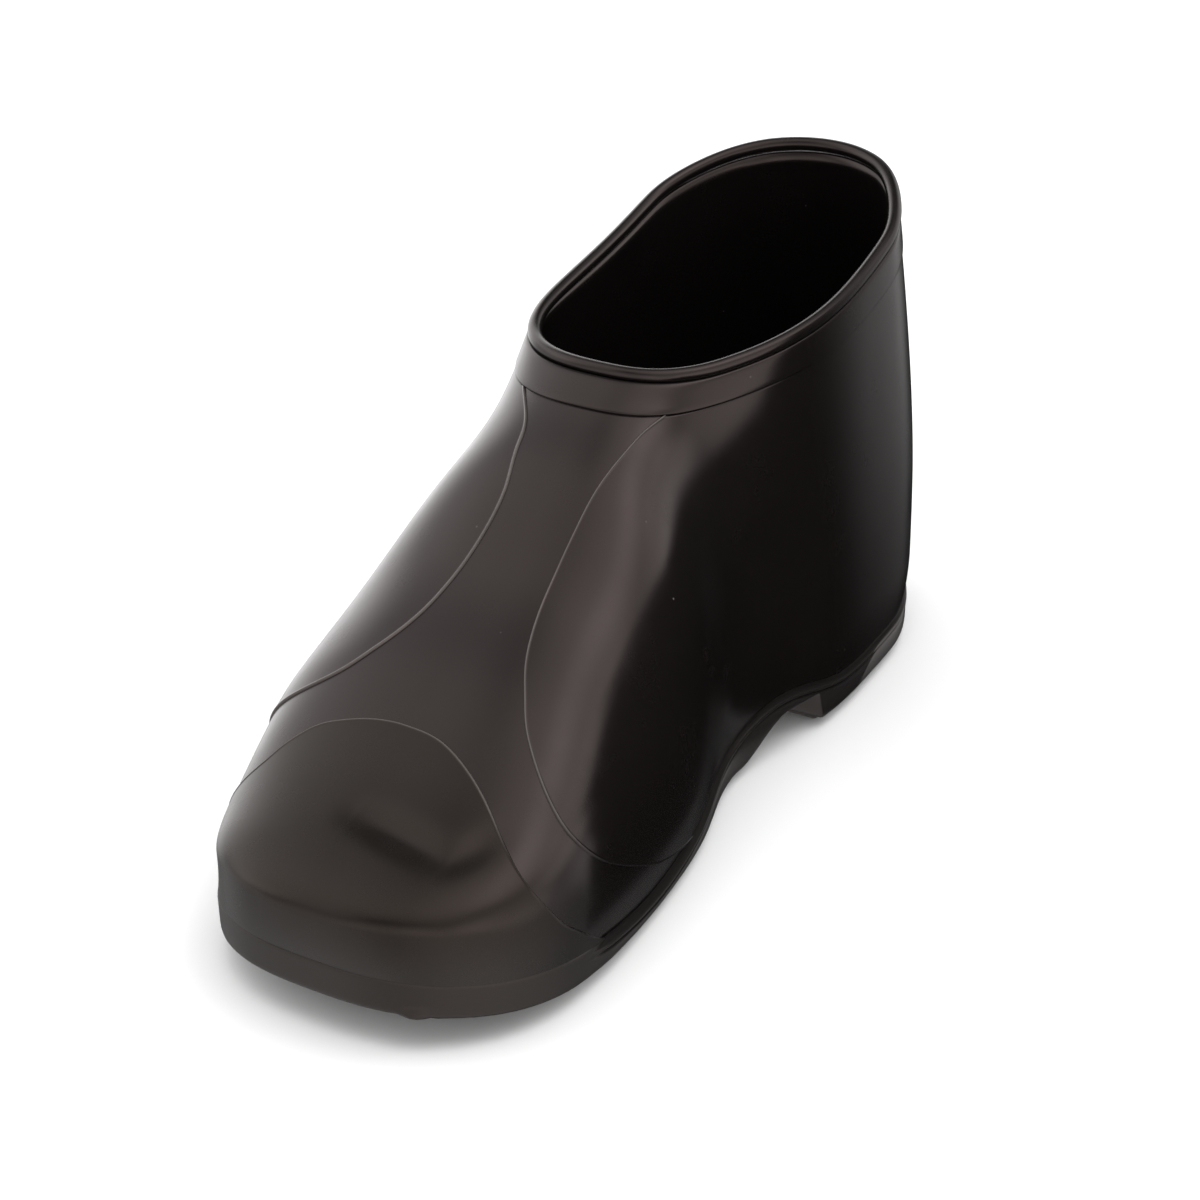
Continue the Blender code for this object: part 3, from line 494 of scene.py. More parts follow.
def fold_height(point):
    """Height of the folds at each point: how far the rubber stands above its plain form."""
    total = np.zeros(point.shape[:-1])
    for fold in FOLDS:
        line = fold_line(fold)
        nearest = np.full(point.shape[:-1], np.inf)
        share = np.zeros(point.shape[:-1])
        for i, (a, b) in enumerate(zip(line, line[1:])):
            way = b - a
            s = np.clip((point - a) @ way / (way @ way), 0.0, 1.0)
            distance = np.linalg.norm(point - a - s[..., None] * way, axis=-1)
            share = np.where(distance < nearest, (i + s) / (FOLD_STEPS - 1), share)
            nearest = np.minimum(nearest, distance)
        inner_part = np.clip(FOLD_CUT + (1.0 - 2.0 * FOLD_CUT) * share, 0.0, 1.0)
        taper = np.sin(np.pi * inner_part) ** FOLD_TAPER
        total += fold.depth * taper * np.exp(-((nearest / fold.width) ** 2))
    return total


def skin(level, angle, out=0.0):
    """Point of the outside with its folds, moved outwards by a distance."""
    point, normal = frame_at(level, angle)
    return point + normal * (np.asarray(out) + fold_height(point))[..., None]


# Lines on the outside

quarter_angle = {
    1.0: Curve(column(QUARTER_LINE, "fraction"), column(QUARTER_LINE, "medial")),
    -1.0: Curve(column(QUARTER_LINE, "fraction"), column(QUARTER_LINE, "lateral")),
}


# Lowest level that the collar's band may reach, and the samples down to it
LOWEST_BAND = 0.6
BAND_SAMPLES = 161


def level_below_collar(angle, distance):
    """Level at a distance down the outside from the top of the collar."""
    levels = np.linspace(1.0, LOWEST_BAND, BAND_SAMPLES)
    points = surface(levels[:, None], angle[None])
    steps = np.linalg.norm(np.diff(points, axis=0), axis=-1)
    lengths = np.concatenate([np.zeros((1, len(angle))), np.cumsum(steps, axis=0)])
    return np.array([np.interp(distance, lengths[:, i], levels) for i in range(len(angle))])


def wrapped(angle):
    """The same angle in radians, between minus and plus half a turn."""
    return (angle + math.pi) % (2.0 * math.pi) - math.pi


# Radius that the collar's crease leaves room for, and the gap under the bead
BEAD_RADIUS = 2.3
PIECE_GAP = 0.3
ANGLE_TABLE = np.radians(np.arange(-180.0, 180.5, 1.0))
BAND_TABLE = level_below_collar(ANGLE_TABLE, BAND_WIDTH + 2.0 * BEAD_RADIUS)
BEAD_TABLE = level_below_collar(ANGLE_TABLE, 2.0 * BEAD_RADIUS + PIECE_GAP)


def band_level(angle):
    """Level of the collar band's lower edge."""
    return np.interp(wrapped(angle), ANGLE_TABLE, BAND_TABLE)


def bead_level(angle):
    """Level of the crease under the collar's bead."""
    return np.interp(wrapped(angle), ANGLE_TABLE, BEAD_TABLE)


# Even spacing round a loop: angle at shares of the girth from the toe to the heel, for a table of levels
GIRTH_LEVELS = np.linspace(0.0, 1.0, 61)
GIRTH_SHARES = np.linspace(0.0, 1.0, 361)
GIRTH_SAMPLES = 900


def girth_table(side):
    """Angle at each share of the girth of one side, for each level."""
    turn = np.linspace(0.0, 1.0, GIRTH_SAMPLES)
    turn = math.pi * (turn - np.sin(2.0 * math.pi * turn) / (2.0 * math.pi))
    points = surface(GIRTH_LEVELS[:, None], side * turn[None])
    lengths = np.cumsum(np.linalg.norm(np.diff(points, axis=1), axis=-1), axis=1)
    lengths = np.concatenate([np.zeros((len(GIRTH_LEVELS), 1)), lengths], axis=1)
    lengths /= lengths[:, -1:]
    return np.array([np.interp(GIRTH_SHARES, row, turn) for row in lengths])


GIRTH_ANGLES = {1.0: girth_table(1.0), -1.0: girth_table(-1.0)}


def loop_angles(level, count):
    """Angles of evenly spaced columns round the loop of a level: toe, inner side, heel, outer side."""
    place = np.interp(level, GIRTH_LEVELS, np.arange(len(GIRTH_LEVELS)))
    low = min(int(place), len(GIRTH_LEVELS) - 2)
    shares = np.linspace(0.0, 1.0, count // 2 + 1)
    sides = []
    for side in (1.0, -1.0):
        below, above = GIRTH_ANGLES[side][low:low + 2]
        row = below + (above - below) * (place - low)
        sides.append(np.interp(shares, GIRTH_SHARES, row))
    inner, outer = sides
    return np.concatenate([inner, 2.0 * math.pi - outer[-2:0:-1]])


# Meshes

def new_piece(name, points, faces, material):
    """A finished piece in metres, in the frame's place."""
    mesh = bpy.data.meshes.new(name)
    placed = (np.asarray(points, float).reshape(-1, 3) - (BOX_MIDDLE_X, BOX_MIDDLE_Y, 0.0)) * MM
    mesh.from_pydata(placed.tolist(), [], faces)
    mesh.validate()
    mesh.shade_smooth()
    mesh.materials.append(material)
    piece = bpy.data.objects.new(name, mesh)
    bpy.context.scene.collection.objects.link(piece)
    return piece


def looped_faces(rows, columns):
    """Faces of a closed band: rings climb the outer side, come down the inner side and meet."""
    row = np.arange(rows)[:, None]
    col = np.arange(columns)[None]
    after, nxt = (row + 1) % rows, (col + 1) % columns
    corners = [row * columns + col, row * columns + nxt, after * columns + nxt, after * columns + col]
    return np.stack([np.broadcast_to(c, (rows, columns)).ravel() for c in corners], axis=-1).tolist()


def looped_piece(name, rings, material):
    """A finished piece whose rings of points close on themselves."""
    return new_piece(name, np.concatenate(rings), looped_faces(len(rings), len(rings[0])), material)


def slab_piece(name, outer, inner, material, wear):
    """Thin closed piece between two grids of rows and columns of points, with the painted highlight of its
    outside.
    """
    rows, columns = outer.shape[:2]
    back = rows * columns
    row = np.arange(rows - 1)[:, None]
    col = np.arange(columns - 1)[None]
    a = (row * columns + col).ravel()
    front = np.stack([a, a + 1, a + columns + 1, a + columns], axis=-1)
    faces = front.tolist() + (back + front[:, ::-1]).tolist()
    border = list(range(columns))
    border += [r * columns + columns - 1 for r in range(1, rows)]
    border += [(rows - 1) * columns + c for c in range(columns - 2, -1, -1)]
    border += [r * columns for r in range(rows - 2, 0, -1)]
    for corner, nxt in zip(border, border[1:] + border[:1]):
        faces.append([corner, back + corner, back + nxt, nxt])
    points = np.concatenate([outer.reshape(-1, 3), inner.reshape(-1, 3)])
    piece = new_piece(name, points, faces, material)
    # The outside carries a painted highlight: how pale its edge line is painted, as if its ridge caught the
    # light
    highlit = piece.data.attributes.new("line_wear", "FLOAT", "POINT")
    highlit.data.foreach_set("value", np.concatenate([wear.ravel(), np.zeros(back)]).astype(np.float32))
    return piece


def settle(piece, slot, *nodes):
    """Give a finished piece its body and hide the solids that it stands for; the slot is not used."""
    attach(piece, "root")
    if nodes:
        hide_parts(*nodes)
    return piece


# Rubber finishes

DUST = (0.3, 0.28, 0.26)
# Pale colour painted along the panels' edge lines: a painted highlight where their thin ridge would catch
# the light
HIGHLIGHT_PAINT = (0.075, 0.067, 0.063)
RUBBER_IOR = 1.5
# Cloudy tone, specks and cloudy sheen: scales are in cells a metre
CLOUD_SCALE = 26.0
CLOUD_GAIN = 1.45
CLOUD_LIFT = 0.001
SPECK_SCALE = 150.0
SPECK_EDGE = 0.06
SPECK_CORE = 0.02
SPECK_RARITY = 0.8
SPECK_STRENGTH = 0.5
HAZE_SCALE = 60.0
HAZE_SPREAD = 0.035
# Relief of the skin and, on the lugs, of the pebbled grain, in metres
SKIN_GRAIN = 0.0006
SKIN_DEPTH = 0.000006
PEBBLE_SCALE = 1150.0
PEBBLE_DEPTH = 0.00022
LUG_DULLER = 0.16


def node(tree, kind, place, *sources, **values):
    """A node of a tree. Sources are linked to its first inputs; sockets and settings go by name."""
    made = tree.nodes.new(kind)
    made.location = place
    for name, value in values.items():
        socket = made.inputs.get(name.replace("_", " ").title())
        if socket is None:
            setattr(made, name, value)
        elif isinstance(value, bpy.types.NodeSocket):
            tree.links.new(value, socket)
        else:
            socket.default_value = value
    for source, socket in zip(sources, made.inputs):
        tree.links.new(source, socket)
    return made


def mixed(tree, place, first, second, factor):
    """Colour output that goes from first to second, each a colour or a socket, with a factor's socket."""
    blend = node(tree, "ShaderNodeMix", place, data_type="RGBA")
    sockets = {item.identifier: item for item in (*blend.inputs, *blend.outputs)}
    for source, name in ((first, "A_Color"), (second, "B_Color")):
        if isinstance(source, bpy.types.NodeSocket):
            tree.links.new(source, sockets[name])
        else:
            sockets[name].default_value = (*source, 1.0)
    tree.links.new(factor, sockets["Factor_Float"])
    return sockets["Result_Color"]


def rubber(name, tone, tint, roughness, pebble):
    """Moulded rubber: cloudy tone and sheen, a fine skin, small pale specks, a painted highlight on edge
    lines and, on lugs, pebbled grain.
    """
    material = bpy.data.materials.new(name)
    material.use_nodes = True
    tree = material.node_tree
    shader = tree.nodes["Principled BSDF"]
    shader.inputs["Metallic"].default_value = 0.0
    shader.inputs["IOR"].default_value = RUBBER_IOR
    shader.inputs["Specular Tint"].default_value = (*tint, 1.0)
    place = node(tree, "ShaderNodeTexCoord", (-1400, 0)).outputs["Object"]

    cloud = node(tree, "ShaderNodeTexNoise", (-1150, 300), vector=place,
                 scale=CLOUD_SCALE, detail=4.0, roughness=0.55)
    paler = tuple(min(1.0, part * CLOUD_GAIN + CLOUD_LIFT) for part in tone)
    cloudy = mixed(tree, (-700, 300), tone, paler, cloud.outputs["Fac"])
    dots = node(tree, "ShaderNodeTexVoronoi", (-1150, 600), vector=place, scale=SPECK_SCALE)
    small = node(tree, "ShaderNodeMapRange", (-950, 700), value=dots.outputs["Distance"],
                 from_min=SPECK_EDGE, from_max=SPECK_CORE)
    few = node(tree, "ShaderNodeMapRange", (-950, 500), value=dots.outputs["Color"],
               from_min=SPECK_RARITY, from_max=1.0, to_max=SPECK_STRENGTH)
    speck = node(tree, "ShaderNodeMath", (-750, 600), small.outputs["Result"], few.outputs["Result"],
                 operation="MULTIPLY")
    dusted = mixed(tree, (-450, 400), cloudy, DUST, speck.outputs["Value"])
    # Painted highlight: the panels' edge lines are painted pale, as if their thin ridge caught the light
    line = node(tree, "ShaderNodeAttribute", (-450, 650), attribute_name="line_wear")
    highlit = mixed(tree, (-220, 400), dusted, HIGHLIGHT_PAINT, line.outputs["Fac"])
    tree.links.new(highlit, shader.inputs["Base Color"])

    haze = node(tree, "ShaderNodeTexNoise", (-1150, 0), vector=place,
                scale=HAZE_SCALE, detail=5.0, roughness=0.6)
    sheen = node(tree, "ShaderNodeMapRange", (-700, 0), value=haze.outputs["Fac"],
                 from_min=0.3, from_max=0.7, to_min=roughness - HAZE_SPREAD, to_max=roughness + HAZE_SPREAD)
    tree.links.new(sheen.outputs["Result"], shader.inputs["Roughness"])

    fine = node(tree, "ShaderNodeTexNoise", (-1150, -300), vector=place, scale=1.0 / SKIN_GRAIN, detail=2.0)
    relief = node(tree, "ShaderNodeBump", (-700, -300), height=fine.outputs["Fac"],
                  strength=1.0, distance=SKIN_DEPTH)
    if pebble > 0.0:
        pebbles = node(tree, "ShaderNodeTexVoronoi", (-1150, -550), vector=place,
                       feature="SMOOTH_F1", scale=PEBBLE_SCALE)
        relief = node(tree, "ShaderNodeBump", (-450, -450), height=pebbles.outputs["Distance"],
                      normal=relief.outputs["Normal"], invert=True, distance=pebble)
    tree.links.new(relief.outputs["Normal"], shader.inputs["Normal"])
    return material


def rubber_of(kind):
    """Material of one kind of surface, made once from the colours and roughness that the user sets."""
    name = "moulded_" + kind
    made = bpy.data.materials.get(name)
    if made is not None:
        return made
    looks = bpy.context.scene.overshoe_finish
    tone, tint, roughness, pebble = {
        "upper": (looks.upper, looks.tint, looks.upper_roughness, 0.0),
        "cap": (looks.cap, looks.cap_tint, looks.cap_roughness, 0.0),
        "sole": (looks.sole, looks.cap_tint, looks.sole_roughness, 0.0),
        "lug": (looks.sole, looks.cap_tint, looks.sole_roughness + LUG_DULLER, PEBBLE_DEPTH),
    }[kind]
    return rubber(name, tuple(tone), tuple(tint), roughness, pebble)


# Pieces

SHELL_OUT = 0.4
PANEL_SINK = 0.35
UPPER_COLUMNS = 380
UPPER_ROWS = 112
INSIDE_ROWS = 36


def make_upper(sizes):
    """Hollow shell of the upper, from the feather line to the crease under the bead."""
    rings = []
    for share in np.linspace(0.0, 1.0, UPPER_ROWS):
        angles = loop_angles(share, UPPER_COLUMNS)
        rings.append(skin(share * bead_level(angles), angles, SHELL_OUT))
    wall = sizes.wall / MM
    for share in np.linspace(1.0, 0.0, INSIDE_ROWS):
        angles = loop_angles(share, UPPER_COLUMNS)
        rings.append(skin(share * bead_level(angles), angles, -wall))
    piece = looped_piece("upper_shell", rings, rubber_of("upper"))
    return settle(piece, "upper_rubber", "upper")


# Edge of a panel: share of a row that its speed is measured over, least sine of the row's angle to the
# edge, and largest share of a row that the soft step takes
SMALL_SHARE = 0.001
LEAST_SINE = 0.12
MOST_REACH = 0.3


def edged_grid(edge, base, place, count):
    """Levels, angles, missing shares and painted highlight of a panel's rows, which run from its free edge
    to its base.

    edge and base hold a pair of parameters for each row, and place turns such pairs into levels and
    angles. The first columns follow the soft step of the edge.
    """
    distances = np.array(column(EDGE_STEP, "distance"))
    missing = np.array(column(EDGE_STEP, "missing"))
    start = skin(*place(edge))
    step = skin(*place(edge + SMALL_SHARE * (base - edge))) - start
    speed = np.linalg.norm(step, axis=-1) / SMALL_SHARE
    along = unit(np.gradient(start, axis=0))
    sine = np.linalg.norm(np.cross(along, unit(step)), axis=-1)
    reach = distances / np.maximum(np.maximum(sine, LEAST_SINE) * speed, 1e-6)[:, None]
    reach = np.minimum(reach, MOST_REACH * distances / distances[-1])
    rest = np.linspace(0.0, 1.0, count + 1)[1:]
    share = np.concatenate([reach, reach[:, -1:] + (1.0 - reach[:, -1:]) * rest], axis=1)
    pairs = edge[:, None] + share[..., None] * (base - edge)[:, None]
    levels, angles = place(pairs)
    heights = np.broadcast_to(np.concatenate([missing, np.zeros(count)]), levels.shape)
    # Painted highlight along the edge line, faded out towards the feather line
    line = np.concatenate([column(EDGE_STEP, "wear"), np.zeros(count)])
    return levels, angles, heights, line * smooth((edge[:, :1] - HIGHLIGHT_FROM) / HIGHLIGHT_FADE)


def even_rows(points, count):
    """Positions, as fractional row numbers, of rows evenly spaced along a dense line."""
    lengths = np.cumsum(np.linalg.norm(np.diff(points, axis=0), axis=-1))
    lengths = np.concatenate([[0.0], lengths])
    return np.interp(np.linspace(0.0, lengths[-1], count), lengths, np.arange(len(points)))


def raised_panel(name, grid, step, material):
    """Panel on the grid that edged_grid gives, raised by a step, with its back sunk in the shell."""
    levels, angles, missing, wear = grid
    outer = skin(levels, angles, SHELL_OUT + step * (1.0 - missing))
    inner = skin(levels, angles, SHELL_OUT - PANEL_SINK)
    return slab_piece(name, outer, inner, material, wear)


QUARTER_DENSE = 801
QUARTER_ROWS = 150
QUARTER_COLUMNS = 96


def make_quarter_panel(sizes):
    """Raised panel round the rear of the shoe, from one quarter line to the other."""
    def place(pairs):
        return pairs[..., 0] * band_level(pairs[..., 1]), pairs[..., 1]

    dense = np.linspace(0.0, 1.0, QUARTER_DENSE)
    line = np.radians(quarter_angle[1.0](dense))
    even = even_rows(skin(dense * band_level(line), line), QUARTER_ROWS)
    heights = np.interp(even, np.arange(QUARTER_DENSE), dense)
    halves = []
    for side in (1.0, -1.0):
        edge = np.column_stack([heights, side * np.radians(quarter_angle[side](heights))])
        base = np.column_stack([heights, np.full(QUARTER_ROWS, side * math.pi)])
        halves.append(edged_grid(edge, base, place, QUARTER_COLUMNS))
    joined = [np.concatenate([inner, outer[:, -2::-1]], axis=1) for inner, outer in zip(*halves)]
    piece = raised_panel("quarter_panel_skin", joined, sizes.panel_step / MM, rubber_of("upper"))
    return settle(piece, "panel_rubber", "quarter_panel")


CAP_FOOT = -0.003
CAP_DENSE = 1201
CAP_ROWS = 240
CAP_COLUMNS = 60


def make_toe_cap(sizes):
    """Raised cap over the toe, from its curved rear edge down to the feather line."""
    def place(pairs):
        angles = np.radians(pairs[..., 1])
        return pairs[..., 0] * band_level(angles), angles

    knots = np.array([(row.fraction, row.angle) for row in CAP_LINE])
    steps = np.linalg.norm(np.diff(skin(*place(knots)), axis=0), axis=1)
    along = np.concatenate([[0.0], np.cumsum(steps)])
    lengths = np.linspace(0.0, along[-1], CAP_DENSE)
    dense = np.column_stack([Curve(along, knots[:, 0])(lengths), Curve(along, knots[:, 1])(lengths)])
    even = even_rows(skin(*place(dense)), CAP_ROWS)
    edge = np.column_stack([np.interp(even, np.arange(CAP_DENSE), dense[:, i]) for i in range(2)])
    base = np.column_stack([np.full(CAP_ROWS, CAP_FOOT), np.linspace(edge[0, 1], edge[-1, 1], CAP_ROWS)])
    grid = edged_grid(edge, base, place, CAP_COLUMNS)
    piece = raised_panel("toe_cap_skin", grid, sizes.cap_step / MM, rubber_of("cap"))
    return settle(piece, "cap_rubber", "toe_cap")


# Collar band: share of its height from the lower edge, and distance outwards
BandRow = namedtuple("BandRow", "share out")
BAND_PROFILE = table(BandRow, (
    (0.0, 0.1), (0.0, 1.0), (0.006, 1.22), (0.018, 1.34), (0.04, 1.4), (0.2, 1.42), (0.4, 1.42),
    (0.6, 1.42), (0.8, 1.4), (0.9, 1.32), (0.96, 1.08), (0.99, 0.7), (1.0, 0.2), (1.0, -0.6),
    (0.5, -0.6), (0.0, -0.6),
))
COLLAR_COLUMNS = 420
BAND_LEVEL = 0.93


def make_collar_band():
    """Flat band round the collar."""
    angles = loop_angles(BAND_LEVEL, COLLAR_COLUMNS)
    low, high = band_level(angles), bead_level(angles)
    rings = [skin(low + row.share * (high - low), angles, row.out) for row in BAND_PROFILE]
    piece = looped_piece("collar_band_skin", rings, rubber_of("upper"))
    return settle(piece, "band_rubber", "collar_band")


def sweep_tree():
    """Geometry nodes that sweep a round cord along the edges of a mesh."""
    tree = bpy.data.node_groups.new("swept cord", "GeometryNodeTree")
    for name, kind in (("Geometry", "Geometry"), ("Radius", "Float"), ("Sides", "Int"),
                       ("Material", "Material")):
        tree.interface.new_socket(name, in_out="INPUT", socket_type="NodeSocket" + kind)
    tree.interface.new_socket("Geometry", in_out="OUTPUT", socket_type="NodeSocketGeometry")
    given = node(tree, "NodeGroupInput", (-600, 0))
    path = node(tree, "GeometryNodeMeshToCurve", (-350, 100), mesh=given.outputs["Geometry"])
    ring = node(tree, "GeometryNodeCurvePrimitiveCircle", (-350, -150),
                radius=given.outputs["Radius"], resolution=given.outputs["Sides"])
    sweep = node(tree, "GeometryNodeCurveToMesh", (-50, 0),
                 curve=path.outputs["Curve"], profile_curve=ring.outputs["Curve"])
    shade = node(tree, "GeometryNodeSetShadeSmooth", (200, 0), geometry=sweep.outputs["Mesh"])
    real = node(tree, "GeometryNodeRealizeInstances", (420, 0), geometry=shade.outputs["Geometry"])
    paint = node(tree, "GeometryNodeSetMaterial", (640, 0),
                 geometry=real.outputs["Geometry"], material=given.outputs["Material"])
    node(tree, "NodeGroupOutput", (900, 0), paint.outputs["Geometry"])
    return tree


def swept_cord(name, path, radius, sides, material):
    """Closed round cord along a ring of points in millimetres, made plain mesh."""
    mesh = bpy.data.meshes.new(name + "_path")
    placed = (np.asarray(path) - (BOX_MIDDLE_X, BOX_MIDDLE_Y, 0.0)) * MM
    edges = [(i, (i + 1) % len(path)) for i in range(len(path))]
    mesh.from_pydata(placed.tolist(), edges, [])
    carrier = bpy.data.objects.new(name + "_path", mesh)
    bpy.context.scene.collection.objects.link(carrier)
    tree = bpy.data.node_groups.get("swept cord") or sweep_tree()
    sweep = carrier.modifiers.new("sweep", "NODES")
    sweep.node_group = tree
    inputs = {item.name: item.identifier for item in tree.interface.items_tree if item.in_out == "INPUT"}
    sweep[inputs["Radius"]] = radius * MM
    sweep[inputs["Sides"]] = sides
    sweep[inputs["Material"]] = material
    bpy.context.view_layer.update()
    evaluated = carrier.evaluated_get(bpy.context.evaluated_depsgraph_get())
    plain = bpy.data.meshes.new_from_object(evaluated)
    bpy.data.objects.remove(carrier, do_unlink=True)
    bpy.data.meshes.remove(mesh)
    shell = bmesh.new()
    shell.from_mesh(plain)
    bmesh.ops.recalc_face_normals(shell, faces=shell.faces)
    shell.to_mesh(plain)
    shell.free()
    plain.name = name
    piece = bpy.data.objects.new(name, plain)
    bpy.context.scene.collection.objects.link(piece)
    return piece


BEAD_SIDES = 22


def make_collar_bead(sizes):
    """Rolled bead on top of the collar."""
    angles = loop_angles(1.0, COLLAR_COLUMNS)
    middle = np.interp(wrapped(angles), ANGLE_TABLE, level_below_collar(ANGLE_TABLE, BEAD_RADIUS))
    point, normal = frame_at(middle, angles)
    path = point + normal * BEAD_OUT
    piece = swept_cord("collar_bead", path, sizes.bead_radius / MM, BEAD_SIDES, rubber_of("upper"))
    return settle(piece, "band_rubber", "collar_band")


# Sole

SOLE_COLUMNS = 26
SOLE_TURNS = 200
# Closer columns at the heel breast: how far they reach to its rear and front, how close they stand, and
# the least angle to the even ones
BREAST_BEFORE = 3.0
BREAST_AFTER = 6.0
BREAST_SPACING = 0.4
LEAST_TURN = 0.004
InsideRow = namedtuple("InsideRow", "share inward")
INSIDE_PROFILE = table(InsideRow, (
    (-0.05, 1.6), (0.0, 2.2), (0.45, 2.35), (0.72, 2.8), (0.88, 3.6), (0.97, 5.0), (1.0, 7.0),
))


def sole_angles():
    """Angles of the sole's columns: even round the outline, and closer at the heel breast."""
    even = loop_angles(0.0, 2 * SOLE_TURNS)[:SOLE_TURNS + 1]
    rear, front = REAR_TABLE[LEVEL_TABLE.searchsorted(0.0)], FRONT_TABLE[LEVEL_TABLE.searchsorted(0.0)]
    close = np.arange(BREAST_STATION - BREAST_BEFORE, BREAST_STATION + BREAST_AFTER, BREAST_SPACING)
    close = np.arccos(2.0 * (close - rear) / (front - rear) - 1.0)
    even = even[(even < close.min() - LEAST_TURN) | (even > close.max() + LEAST_TURN)]
    half = np.sort(np.concatenate([even, close]))
    return np.concatenate([half, 2.0 * math.pi - half[-2:0:-1]])


def outline(angles, out=0.0):
    """Points of the sole's outline in plan, moved outwards, with their stations."""
    point, normal = frame_at(np.zeros(len(angles)), angles)
    plan = point[:, :2] + unit(normal[:, :2]) * np.asarray(out)[..., None]
    return plan, LENGTH / 2.0 - plan[:, 1]


def rib_share(angles):
    """1 where the side rib stands, 0 over the toe."""
    turn = np.abs(np.degrees(wrapped(angles)))
    return smooth((turn - RIB_START_ANGLE) / RIB_FADE_ANGLE)


def sole_sheet(plan, height_at, first):
    """Inner points and faces of a sheet that fills a ring, facing up; first is the ring's first index."""
    count = len(plan)
    half = count // 2
    points = []
    rows = [[first] * (SOLE_COLUMNS + 1)]
    for k in range(1, half):
        inner, outer = plan[k], plan[count - k]
        row = [first + k]
        for j in range(1, SOLE_COLUMNS):
            across = inner + (outer - inner) * j / SOLE_COLUMNS
            row.append(("new", len(points)))
            points.append((across[0], across[1], float(height_at(LENGTH / 2.0 - across[1]))))
        row.append(first + count - k)
        rows.append(row)
    rows.append([first + half] * (SOLE_COLUMNS + 1))
    faces = []
    for front, rear in zip(rows, rows[1:]):
        for j in range(SOLE_COLUMNS):
            corners = [front[j], rear[j], rear[j + 1], front[j + 1]]
            faces.append([c for i, c in enumerate(corners) if c not in corners[:i]])
    return points, faces


def make_sole():
    """Sole with its side ribs, waist recess, heel breast and the floor inside the shoe."""
    angles = sole_angles()
    ribbed = rib_share(angles)
    _, stations = outline(angles)
    top, under = feather(stations), sole_underside(stations)
    turn = np.degrees(wrapped(angles))
    nub = NUB_OUT * np.exp(-(((turn - NUB_ANGLE) / NUB_SPREAD) ** 4))
    free = RIM_PROFILE[-1].drop
    rings = []
    for row in reversed(RIM_PROFILE):
        out = SHELL_OUT + row.plain + (row.ribbed - row.plain) * ribbed
        out = out + nub * (NUB_DROP < row.drop < free)
        plan, _ = outline(angles, out)
        low = top - RIM_FIXED - (top - RIM_FIXED - under) * (row.drop - RIM_FIXED) / (free - RIM_FIXED)
        height = low if row.drop > RIM_FIXED else top - row.drop
        rings.append(np.column_stack([plan, height]))
    for row in INSIDE_PROFILE:
        plan, stations = outline(angles, np.full(len(angles), -row.inward))
        top, floor = feather(stations), sole_inside(stations)
        rings.append(np.column_stack([plan, top + (floor - top) * row.share]))
    count = len(angles)
    points = [tuple(point) for point in np.concatenate(rings)]
    faces = looped_faces(len(rings), count)[:(len(rings) - 1) * count]
    for ring, height_at, first, upwards in (
            (rings[0], sole_underside, 0, False),
            (rings[-1], sole_inside, (len(rings) - 1) * count, True)):
        new_points, new_faces = sole_sheet(ring[:, :2], height_at, first)
        offset = len(points)
        points += new_points
        for face in new_faces:
            corners = [offset + c[1] if isinstance(c, tuple) else c for c in face]
            faces.append(corners if upwards else corners[::-1])
    piece = new_piece("sole_body", points, faces, rubber_of("sole"))
    return settle(piece, "sole_rubber", "outsole")


def make_oval():
    """Thin raised outline of the bare oval on the waist."""
    rear, front = (np.array((x, LENGTH / 2.0 - s)) for s, x in OVAL_ENDS)
    way = unit(front - rear)
    side = np.array((-way[1], way[0]))
    turns = np.radians(np.arange(-90.0, 91.0, 6.0))
    ends = []
    for hub, sign in ((front, 1.0), (rear, -1.0)):
        ends += [hub + sign * OVAL_HALF_WIDTH * (math.cos(t) * way + math.sin(t) * side) for t in turns]
    corners = np.array(ends)
    path = []
    for a, b in zip(corners, np.roll(corners, -1, axis=0)):
        steps = max(1, int(np.linalg.norm(b - a) / OVAL_SPACING))
        path += [a + (b - a) * i / steps for i in range(steps)]
    path = np.array(path)
    path = np.column_stack([path, sole_underside(LENGTH / 2.0 - path[:, 1]) + OVAL_SINK])
    piece = swept_cord("sole_oval", path, OVAL_LINE, OVAL_SIDES, rubber_of("sole"))
    return settle(piece, "sole_rubber", "outsole")


# Tread: depth below the sole and inset from the lug's outline, from its root to its ground face
LugRow = namedtuple("LugRow", "depth inset")
LUG_PROFILE = table(LugRow, (
    (-0.7, -0.75), (0.1, -0.6), (0.5, -0.25), (1.1, -0.05), (2.4, 0.1), (2.95, 0.22), (3.25, 0.42),
    (3.43, 0.72), (3.5, 1.15),
))


def cleat_corners(row):
    """Corners of an edge lug: a square inner end and a narrow outer end."""
    rear_tip = row.front - CLEAT_TIP
    return ((row.rear, row.inner), (row.front, row.inner), (row.front, row.outer), (rear_tip, row.outer),
            (row.rear + CLEAT_BELLY * (rear_tip - row.rear), 0.5 * (row.inner + row.outer)))


def bar_corners(path):
    """Corners of a bar of even width along a path."""
    points = np.array(path, float)
    along = unit(np.diff(points, axis=0))
    side = np.column_stack([-along[:, 1], along[:, 0]])
    half = BAR_WIDTH / 2.0
    left, right = [points[0] + side[0] * half], [points[0] - side[0] * half]
    if len(points) == 3:
        bend = unit(side[0] + side[1])
        reach = half / float(bend @ side[0])
        left.append(points[1] + bend * reach)
        right.append(points[1] - bend * reach)
    left.append(points[-1] + side[-1] * half)
    right.append(points[-1] - side[-1] * half)
    return [tuple(p) for p in left + right[::-1]]


def pad_corners(edge, degrees):
    """Corners of a pad between its own edge and the sole's outline, inside the margin."""
    angles = np.radians(degrees)
    plan, stations = outline(angles, np.full(len(angles), -PAD_MARGIN))
    return list(edge) + [(station, x) for station, x in zip(stations, plan[:, 0])]


